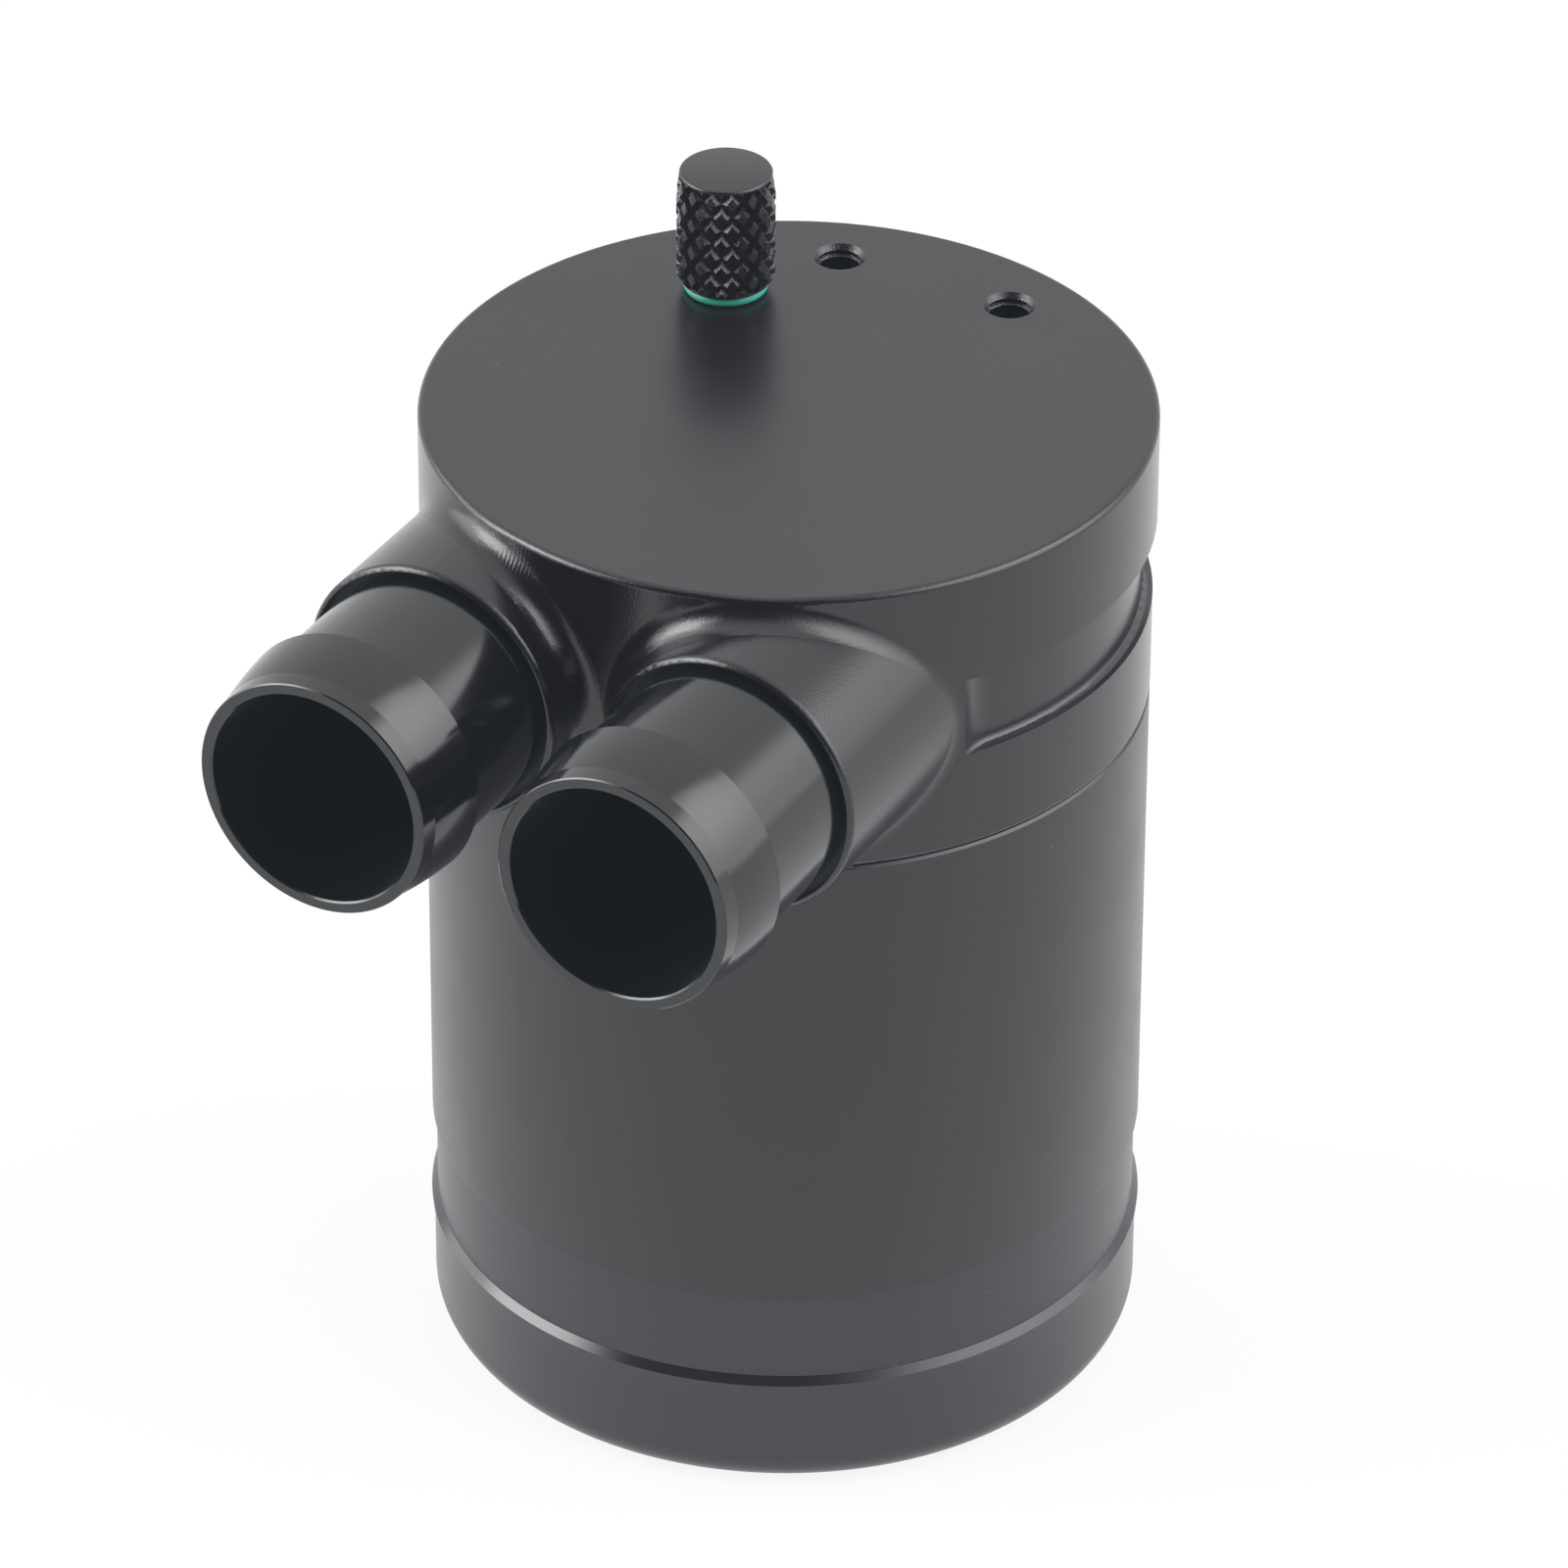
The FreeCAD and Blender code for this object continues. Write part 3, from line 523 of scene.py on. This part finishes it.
# %% [markdown]
# ## Screw threads
# A thread is a ridge along a helix. A sweep is the plain way to make it: a spiral curve gives the
# path, and a trapezoid, 60 degrees between its flanks, gives the section. The same tree cuts the
# threads outside the tube and the knob's spigot and those inside the cap and the bracket holes,
# where the crest is the smaller radius. A ridge's root is sunk a little into its blank, so that
# no gap shows between them.

# %% The thread tree
THREAD_STEPS = 96                       # in one turn
CREST_SHARE = 0.125                     # of the pitch is flat, at the crest
FLANK_SLOPE = math.tan(math.radians(30))


def thread_tree():
    """A ridge with a 60 degree profile swept along a helix, with both ends closed."""
    tree, size = new_tree("cut_thread", {"Root Radius": "Float", "Crest Radius": "Float",
                                         "Pitch": "Float", "Turns": "Float", "Foot": "Vector"})
    both = add_node(tree, "ShaderNodeMath", {"operation": "ADD"},
                    _0=size["Root Radius"], _1=size["Crest Radius"])
    middle = add_node(tree, "ShaderNodeMath", {"operation": "MULTIPLY"},
                      _0=both.outputs[0], _1=0.5)
    rise = add_node(tree, "ShaderNodeMath", {"operation": "MULTIPLY"},
                    _0=size["Pitch"], _1=size["Turns"])
    path = add_node(tree, "GeometryNodeCurveSpiral", Resolution=THREAD_STEPS,
                    Rotations=size["Turns"], Start_Radius=middle.outputs[0],
                    End_Radius=middle.outputs[0], Height=rise.outputs[0])
    upright = add_node(tree, "GeometryNodeSetCurveNormal", {"mode": "Z_UP"},
                       Curve=path.outputs["Curve"])
    depth = add_node(tree, "ShaderNodeMath", {"operation": "SUBTRACT"},
                     _0=size["Crest Radius"], _1=size["Root Radius"])
    crest = add_node(tree, "ShaderNodeMath", {"operation": "MULTIPLY"},
                     _0=size["Pitch"], _1=CREST_SHARE)
    flanks = add_node(tree, "ShaderNodeMath", {"operation": "ABSOLUTE"}, _0=depth.outputs[0])
    root = add_node(tree, "ShaderNodeMath", {"operation": "MULTIPLY_ADD"},
                    _0=flanks.outputs[0], _1=2 * FLANK_SLOPE, _2=crest.outputs[0])
    corners = []
    for width, side, level in (
            (root, -1, -0.5), (root, 1, -0.5), (crest, 1, 0.5), (crest, -1, 0.5)):
        across = add_node(tree, "ShaderNodeMath", {"operation": "MULTIPLY"},
                          _0=width.outputs[0], _1=0.5 * side)
        outward = add_node(tree, "ShaderNodeMath", {"operation": "MULTIPLY"},
                           _0=depth.outputs[0], _1=level)
        corners.append(add_node(tree, "ShaderNodeCombineXYZ", X=outward.outputs[0],
                                Y=across.outputs[0]).outputs["Vector"])
    section = add_node(tree, "GeometryNodeCurvePrimitiveQuadrilateral", {"mode": "POINTS"},
                       _7=corners[0], _8=corners[1], _9=corners[2], _10=corners[3])
    ridge = add_node(tree, "GeometryNodeCurveToMesh", Curve=upright.outputs["Curve"],
                     Profile_Curve=section.outputs["Curve"], Fill_Caps=True)
    placed = add_node(tree, "GeometryNodeTransform", Geometry=ridge.outputs["Mesh"],
                      Translation=size["Foot"])
    end_tree(tree, size, placed.outputs["Geometry"])
    return tree


cut_thread = thread_tree()
print("thread tree has", len(cut_thread.nodes), "nodes")

# %% [markdown]
# ## The knurl
# The knob's grip is a diamond knurl: two wheels pressed crossing V grooves into it and left flat
# diamonds between them. A sheet of small square cells is the start. Every cell is split into four
# triangles from its middle, so that grooves running at either slant follow edges exactly. The
# sheet is then wrapped round into a sleeve, sunk by how near a groove is, and closed inside.

# %% The knurl tree
KNURL_CELLS = 16                        # from one diamond to the next, both round and up
WELD = 0.001                            # of a cell, and later of a millimetre


def knurl_tree():
    """A closed sleeve with crossing V grooves, flat diamonds and narrower ends."""
    tree, size = new_tree("cut_knurl", {"Diamonds": "Int", "Rows": "Int", "Crossing Row": "Int",
                                        "Bearing": "Float", "Foot": "Vector", "Height": "Float",
                                        "Core Radius": "Float", "Root Radius": "Float",
                                        "Crest Radius": "Float", "Groove Share": "Float",
                                        "Taper": "Float", "Foot Taper Length": "Float",
                                        "Top Taper Length": "Float"})
    # The sheet: one unit is one cell. Three rows are spare, for closing the sleeve inside.
    columns = add_node(tree, "ShaderNodeMath", {"operation": "MULTIPLY"},
                       _0=size["Diamonds"], _1=KNURL_CELLS)
    corners_x = add_node(tree, "ShaderNodeMath", {"operation": "ADD"}, _0=columns.outputs[0], _1=1)
    size_y = add_node(tree, "ShaderNodeMath", {"operation": "ADD"}, _0=size["Rows"], _1=3)
    corners_y = add_node(tree, "ShaderNodeMath", {"operation": "ADD"}, _0=size["Rows"], _1=4)
    sheet = add_node(tree, "GeometryNodeMeshGrid", Size_X=columns.outputs[0],
                     Size_Y=size_y.outputs[0], Vertices_X=corners_x.outputs[0],
                     Vertices_Y=corners_y.outputs[0])
    raised = add_node(tree, "GeometryNodeExtrudeMesh", Mesh=sheet.outputs["Mesh"],
                      Offset_Scale=0.0, Individual=True)
    shrunk = add_node(tree, "GeometryNodeScaleElements", Geometry=raised.outputs["Mesh"],
                      Selection=raised.outputs["Top"], Scale=0.0)
    split = add_node(tree, "GeometryNodeMergeByDistance", Geometry=shrunk.outputs["Geometry"],
                     Distance=WELD)
    # Where a point of the sheet lies: the column, and the row above the knurl's foot.
    place = add_node(tree, "GeometryNodeInputPosition")
    cell = add_node(tree, "ShaderNodeSeparateXYZ", Vector=place.outputs["Position"])
    half = add_node(tree, "ShaderNodeMath", {"operation": "MULTIPLY_ADD"},
                    _0=size["Rows"], _1=0.5, _2=0.5)
    row = add_node(tree, "ShaderNodeMath", {"operation": "ADD"},
                   _0=cell.outputs["Y"], _1=half.outputs[0])
    # Grooves run where column plus row, or column minus row, is a whole number of diamonds.
    above = add_node(tree, "ShaderNodeMath", {"operation": "SUBTRACT"},
                     _0=row.outputs[0], _1=size["Crossing Row"])
    gaps = []
    for slant in ("ADD", "SUBTRACT"):
        across = add_node(tree, "ShaderNodeMath", {"operation": slant},
                          _0=cell.outputs["X"], _1=above.outputs[0])
        share = add_node(tree, "ShaderNodeMath", {"operation": "DIVIDE"},
                         _0=across.outputs[0], _1=KNURL_CELLS)
        gap = add_node(tree, "ShaderNodeMath", {"operation": "PINGPONG"},
                       _0=share.outputs[0], _1=0.5)
        gaps.append(gap.outputs[0])
    near = add_node(tree, "ShaderNodeMath", {"operation": "MINIMUM"}, _0=gaps[0], _1=gaps[1])
    cut = add_node(tree, "ShaderNodeMapRange", _0=near.outputs[0], _1=0.0, _2=size["Groove Share"],
                   _3=size["Root Radius"], _4=size["Crest Radius"])
    # The knurl narrows towards both ends, quickly at the foot and slowly at the top.
    level = add_node(tree, "ShaderNodeMapRange", _0=row.outputs[0], _1=0.0, _2=size["Rows"],
                     _3=0.0, _4=size["Height"])
    below_top = add_node(tree, "ShaderNodeMath", {"operation": "SUBTRACT"},
                         _0=size["Height"], _1=level.outputs["Result"])
    from_foot = add_node(tree, "ShaderNodeMapRange", _0=level.outputs["Result"], _1=0.0,
                         _2=size["Foot Taper Length"], _3=size["Taper"], _4=0.0)
    from_top = add_node(tree, "ShaderNodeMapRange", _0=below_top.outputs[0], _1=0.0,
                        _2=size["Top Taper Length"], _3=size["Taper"], _4=0.0)
    narrower = add_node(tree, "ShaderNodeMath", {"operation": "MAXIMUM"},
                        _0=from_foot.outputs["Result"], _1=from_top.outputs["Result"])
    outside = add_node(tree, "ShaderNodeMath", {"operation": "SUBTRACT"},
                       _0=cut.outputs["Result"], _1=narrower.outputs[0])
    # The spare rows turn in to the core at both ends, and come back down to meet inside.
    past_foot = add_node(tree, "ShaderNodeMath", {"operation": "ADD"}, _0=row.outputs[0], _1=1.0)
    past_top = add_node(tree, "ShaderNodeMath", {"operation": "SUBTRACT"},
                        _0=size["Rows"], _1=row.outputs[0])
    before_core = add_node(tree, "ShaderNodeMath", {"operation": "ADD"},
                           _0=past_top.outputs[0], _1=1.0)
    outer = add_node(tree, "ShaderNodeMath", {"operation": "MINIMUM"},
                     _0=past_foot.outputs[0], _1=before_core.outputs[0])
    radius = add_node(tree, "ShaderNodeMapRange", _0=outer.outputs[0], _1=0.0, _2=1.0,
                      _3=size["Core Radius"], _4=outside.outputs[0])
    back_down = add_node(tree, "ShaderNodeMapRange", _0=before_core.outputs[0], _1=0.0, _2=-1.0,
                         _3=0.0, _4=size["Height"])
    height = add_node(tree, "ShaderNodeMath", {"operation": "SUBTRACT"},
                      _0=level.outputs["Result"], _1=back_down.outputs["Result"])
    # The wrap: columns become an angle, and the radius turns with it.
    turn = add_node(tree, "ShaderNodeMath", {"operation": "DIVIDE"},
                    _0=cell.outputs["X"], _1=columns.outputs[0])
    angle = add_node(tree, "ShaderNodeMath", {"operation": "MULTIPLY_ADD"},
                     _0=turn.outputs[0], _1=2 * math.pi, _2=size["Bearing"])
    arm = add_node(tree, "ShaderNodeCombineXYZ", X=radius.outputs["Result"], Z=height.outputs[0])
    wrapped = add_node(tree, "ShaderNodeVectorRotate", {"rotation_type": "Z_AXIS"},
                       Vector=arm.outputs["Vector"], Angle=angle.outputs[0])
    placed = add_node(tree, "ShaderNodeVectorMath", {"operation": "ADD"},
                      _0=wrapped.outputs["Vector"], _1=size["Foot"])
    bent = add_node(tree, "GeometryNodeSetPosition", Geometry=split.outputs["Geometry"],
                    Position=placed.outputs["Vector"])
    sleeve = add_node(tree, "GeometryNodeMergeByDistance", Geometry=bent.outputs["Geometry"],
                      Distance=WELD * MM)
    end_tree(tree, size, sleeve.outputs["Geometry"])
    return tree


cut_knurl = knurl_tree()
print("knurl tree has", len(cut_knurl.nodes), "nodes")

# %% The knob
KNOB = (-20.0, 20.0)                    # mm, the dipstick's axis
KNOB_FOOT, KNOB_ROUNDING = 128.7, 0.35
KNURL_FOOT, KNURL_TOP = KNOB_FOOT + 0.5, KNOB_TOP - KNOB_ROUNDING
SPIGOT_RADIUS, SPIGOT_END = 3.3, 120.7
ROD_RADIUS, ROD_TOP = 1.53, 126.7


def dipstick_knob_piece():
    """Flat end, knurl, foot and the threaded spigot that holds the rod."""
    blank = turned_blank("knob_turned", [
        (0, KNOB_TOP), *rounded((5.3, KNURL_TOP), KNOB_ROUNDING, 90, 0),
        (5.0, KNURL_TOP), (5.0, KNURL_FOOT), (5.4, KNURL_FOOT), (5.4, KNOB_FOOT + 0.1),
        (5.3, KNOB_FOOT), (SPIGOT_RADIUS, KNOB_FOOT), (SPIGOT_RADIUS, SPIGOT_END + 0.3),
        (SPIGOT_RADIUS - 0.3, SPIGOT_END), (ROD_RADIUS, SPIGOT_END), (ROD_RADIUS, ROD_TOP),
        (0, ROD_TOP)], centre=KNOB, sides=96)
    knob = finished_piece(
        blank, knurled, cut_knurl, Diamonds=14, Rows=61, Crossing_Row=55,
        Bearing=math.radians(294.25), Foot=MM * Vector((*KNOB, KNURL_FOOT)),
        Height=MM * (KNURL_TOP - KNURL_FOOT), Core_Radius=4.8 * MM, Root_Radius=5.4 * MM,
        Crest_Radius=6.0 * MM, Groove_Share=4 / KNURL_CELLS, Taper=0.33 * MM,
        Foot_Taper_Length=0.6 * MM, Top_Taper_Length=3.0 * MM)
    knob = finished_piece(
        knob, knurled, cut_thread, Root_Radius=3.25 * MM, Crest_Radius=3.9 * MM,
        Pitch=1.0 * MM, Turns=6.0, Foot=MM * Vector((*KNOB, SPIGOT_END + 0.9)))
    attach(knob, "dipstick")
    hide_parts("dipstick_knob")
    return knob


dipstick_knob_piece()

# %% [markdown]
# ## The tube and the thread that holds the base
# The tube screws into the base cap by a thread of 1.5 mm pitch, hidden until the base is
# unscrewed. Tube and cap are turned again here with that thread. The cap's sits half a pitch
# higher up the same helix, so that the two mesh at every point of the base's travel.

# %% The tube
BASE_PITCH = 1.5                        # mm
TUBE_END, TUBE_TOP = 6.9, 89.9
TUBE_BORE, TUBE_RADIUS, NECK_RADIUS = 39.0, 43.6, 43.1
MALE_ROOT = 40.4
THREAD_FOOT = TUBE_END + BASE_PITCH / 2


def can_tube_piece():
    """Plain tube, turned-down neck and male thread."""
    blank = turned_blank("tube_turned", [
        (TUBE_BORE, TUBE_TOP), (TUBE_RADIUS - 0.3, TUBE_TOP), (TUBE_RADIUS, TUBE_TOP - 0.3),
        *rounded((TUBE_RADIUS - 0.4, NECK_TOP + 0.4), 0.4, 0, -90), (NECK_RADIUS, NECK_TOP),
        (NECK_RADIUS, NECK_FOOT), (MALE_ROOT, NECK_FOOT), (MALE_ROOT, TUBE_END + 0.3),
        (MALE_ROOT - 0.3, TUBE_END), (TUBE_BORE, TUBE_END)])
    tube = finished_piece(
        blank, necked_tube, cut_thread, Root_Radius=40.3 * MM, Crest_Radius=41.3 * MM,
        Pitch=BASE_PITCH * MM, Turns=5.5, Foot=MM * Vector((0, 0, THREAD_FOOT)))
    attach(tube, "can")
    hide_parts("can_tube")
    return tube


can_tube_piece()

# %% The base cap
CAP_FLOOR = 5.0                         # mm
CAP_FOOT_ROUNDING = 4.1
FEMALE_ROOT = 41.4


def base_cap_piece():
    """Rounded foot, faint lip, bevelled rim, and the thread on the same helix as the tube's."""
    foot = rounded((39.4, CAP_FOOT_ROUNDING), CAP_FOOT_ROUNDING, -90, 0, steps=10)
    blank = turned_blank("cap_turned", [
        (0, 0), *foot, (43.5, 11.8), (43.85, CAP_LIP), (43.1, CAP_RIM),
        (FEMALE_ROOT + 0.1, CAP_RIM), (FEMALE_ROOT, CAP_RIM - 0.1), (FEMALE_ROOT, CAP_FLOOR),
        (0, CAP_FLOOR)])
    cap = finished_piece(
        blank, bevelled_cap, cut_thread, Root_Radius=41.45 * MM, Crest_Radius=40.5 * MM,
        Pitch=BASE_PITCH * MM, Turns=4.8, Foot=MM * Vector((0, 0, THREAD_FOOT + BASE_PITCH / 2)))
    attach(cap, "base")
    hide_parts("base_cap")
    return cap


base_cap_piece()

# %% [markdown]
# ## Bracket holes
# The holes are tapped M6 with a wide countersink. The CAD hole has the thread's outer diameter, so
# a thin lining sits in it: a cone at the mouth, then the thread, whose crest is 5 mm across.

# %% Bracket hole threads
BOLT_ROW_Y, BOLT_SPACING = 33.3, 23.4   # mm
HOLE_SECTION = [                        # radius, and height above the head's top
    (3.19, 0.005), (2.62, -0.62), (2.95, -0.75), (2.95, -1.15), (2.5, -1.45), (2.5, -1.55),
    (2.98, -1.85), (2.98, -11.9), (3.19, -11.9)]


def bracket_hole_thread_piece(name, x):
    """Lining of one hole: a countersink that cuts the first two crests, and the thread below."""
    centre = (x, BOLT_ROW_Y)
    section = [(radius, HEAD_TOP + height) for radius, height in HOLE_SECTION]
    lining = finished_piece(
        turned_blank(name, section, centre, sides=96), knurled, cut_thread,
        Root_Radius=3.03 * MM, Crest_Radius=2.5 * MM, Pitch=1.0 * MM, Turns=9.2,
        Foot=MM * Vector((*centre, HEAD_TOP - 11.6)))
    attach(lining, "can")
    return lining


for name, side in (("left_hole_thread", -1), ("right_hole_thread", 1)):
    bracket_hole_thread_piece(name, side * BOLT_SPACING / 2)

# %% [markdown]
# ## The studio
# A glossy black object is lit by what it mirrors. The photograph's black metal shows a white
# wall behind, a bright softbox on the left, a larger and weaker one on the right, white paper
# underneath, and the dark room behind the camera. The paper is a plain floor here, and the world
# stands for all the others.

# %% Paper floor
FLOOR_SIZE = 6.0                        # m
OVERLIT = 0.88                          # how far the paper that is seen has gone to plain white


def paper_floor():
    """White paper. Seen directly or mirrored it is mixed with plain white, as overlit paper is."""
    mesh = bpy.data.meshes.new("floor")
    half = FLOOR_SIZE / 2
    corners = [(-half, -half, 0), (half, -half, 0), (half, half, 0), (-half, half, 0)]
    mesh.from_pydata(corners, [], [(0, 1, 2, 3)])
    floor = bpy.data.objects.new("floor", mesh)
    bpy.context.scene.collection.objects.link(floor)
    material, tree, shader = new_material("white_paper")
    feed(tree, shader, Base_Color=linear("#e8e8e8"), Roughness=0.9, IOR=1.3)
    ray = add_node(tree, "ShaderNodeLightPath")
    seen = add_node(tree, "ShaderNodeMath", {"operation": "MAXIMUM"},
                    _0=ray.outputs["Is Camera Ray"], _1=ray.outputs["Is Glossy Ray"])
    seen = add_node(tree, "ShaderNodeMath", {"operation": "MAXIMUM"},
                    _0=seen.outputs["Value"], _1=ray.outputs["Is Transmission Ray"])
    share = add_node(tree, "ShaderNodeMath", {"operation": "MULTIPLY"},
                     _0=seen.outputs["Value"], _1=OVERLIT)
    white = add_node(tree, "ShaderNodeEmission", Color=(1.0, 1.0, 1.0, 1.0), Strength=1.0)
    mix = add_node(tree, "ShaderNodeMixShader", _0=share.outputs["Value"],
                   _1=shader.outputs["BSDF"], _2=white.outputs["Emission"])
    feed(tree, tree.nodes["Material Output"], Surface=mix.outputs["Shader"])
    mesh.materials.append(material)
    return floor


paper_floor()
print("floor made")

# %% [markdown]
# ## Softboxes
# A softbox that is seen in glossy black needs soft edges, or its outline shows as a hard shape on
# every curve. So the panels are painted in the world, as a product of two smooth steps across and
# two up, in degrees: azimuth from -Y towards +X, elevation from the floor. Each softbox is two
# panels, one over the other, so that it is brightest in its middle. An edge is given by where it
# is dark and where it is full.

# %% The room and its softboxes
WALL, ROOM_DARK = 1.0, 0.05             # how bright the wall is, and the dark room in front
ROOM_FRONT = Vector((0.307, -0.947, 0.087))
ROOM_EDGE, ROOM_FULL = 0.0, 0.72        # the cosine from there where dark begins, and is full
PANELS = [                              # radiance, then the left, right, low and high edge
    (1.9, (-106, -90), (-18, -40), (-4, 6), (58, 44)),
    (5.2, (-80, -68), (-28, -47), (8, 20), (48, 38)),
    (1.2, (52, 88), (154, 126), (-2, 4), (62, 50)),
    (2.0, (32, 98), (154, 142), (3, 42), (76, 50))]


def panel(tree, azimuth, elevation, radiance, left, right, low, high):
    """How bright one panel is in a direction; each edge is its dark and its full angle."""
    glow = radiance
    edges = (azimuth, left), (azimuth, right), (elevation, low), (elevation, high)
    for angle, (dark, full) in edges:
        edge = add_node(tree, "ShaderNodeMapRange", {"interpolation_type": "SMOOTHSTEP"},
                        _0=angle, _1=dark, _2=full, _3=0.0, _4=1.0)
        glow = add_node(tree, "ShaderNodeMath", {"operation": "MULTIPLY"},
                        _0=edge.outputs["Result"], _1=glow).outputs["Value"]
    return glow


def studio_room():
    """White wall behind, a softbox at each side, and a room that gets dark towards the front."""
    world = bpy.data.worlds.new("studio_room")
    bpy.context.scene.world = world
    world.use_nodes = True
    tree = world.node_tree
    view = add_node(tree, "ShaderNodeTexCoord").outputs["Generated"]
    part = add_node(tree, "ShaderNodeSeparateXYZ", Vector=view)
    front = add_node(tree, "ShaderNodeMath", {"operation": "MULTIPLY"},
                     _0=part.outputs["Y"], _1=-1.0)
    turn = add_node(tree, "ShaderNodeMath", {"operation": "ARCTAN2"},
                    _0=part.outputs["X"], _1=front.outputs["Value"])
    rise = add_node(tree, "ShaderNodeMath", {"operation": "ARCSINE"}, _0=part.outputs["Z"])
    azimuth, elevation = (add_node(tree, "ShaderNodeMath", {"operation": "DEGREES"},
                                   _0=node.outputs["Value"]).outputs["Value"]
                          for node in (turn, rise))
    facing = add_node(tree, "ShaderNodeVectorMath", {"operation": "DOT_PRODUCT"},
                      _0=view, _1=ROOM_FRONT)
    total = add_node(tree, "ShaderNodeMapRange", {"interpolation_type": "SMOOTHSTEP"},
                     _0=facing.outputs["Value"], _1=ROOM_EDGE, _2=ROOM_FULL,
                     _3=WALL, _4=ROOM_DARK).outputs["Result"]
    for radiance, *edges in PANELS:
        glow = panel(tree, azimuth, elevation, radiance, *edges)
        total = add_node(tree, "ShaderNodeMath", {"operation": "ADD"},
                         _0=total, _1=glow).outputs["Value"]
    feed(tree, tree.nodes["Background"], Color=(1.0, 1.0, 1.0, 1.0), Strength=total)


studio_room()
bpy.context.scene.view_settings.view_transform = "Standard"
print("room made")
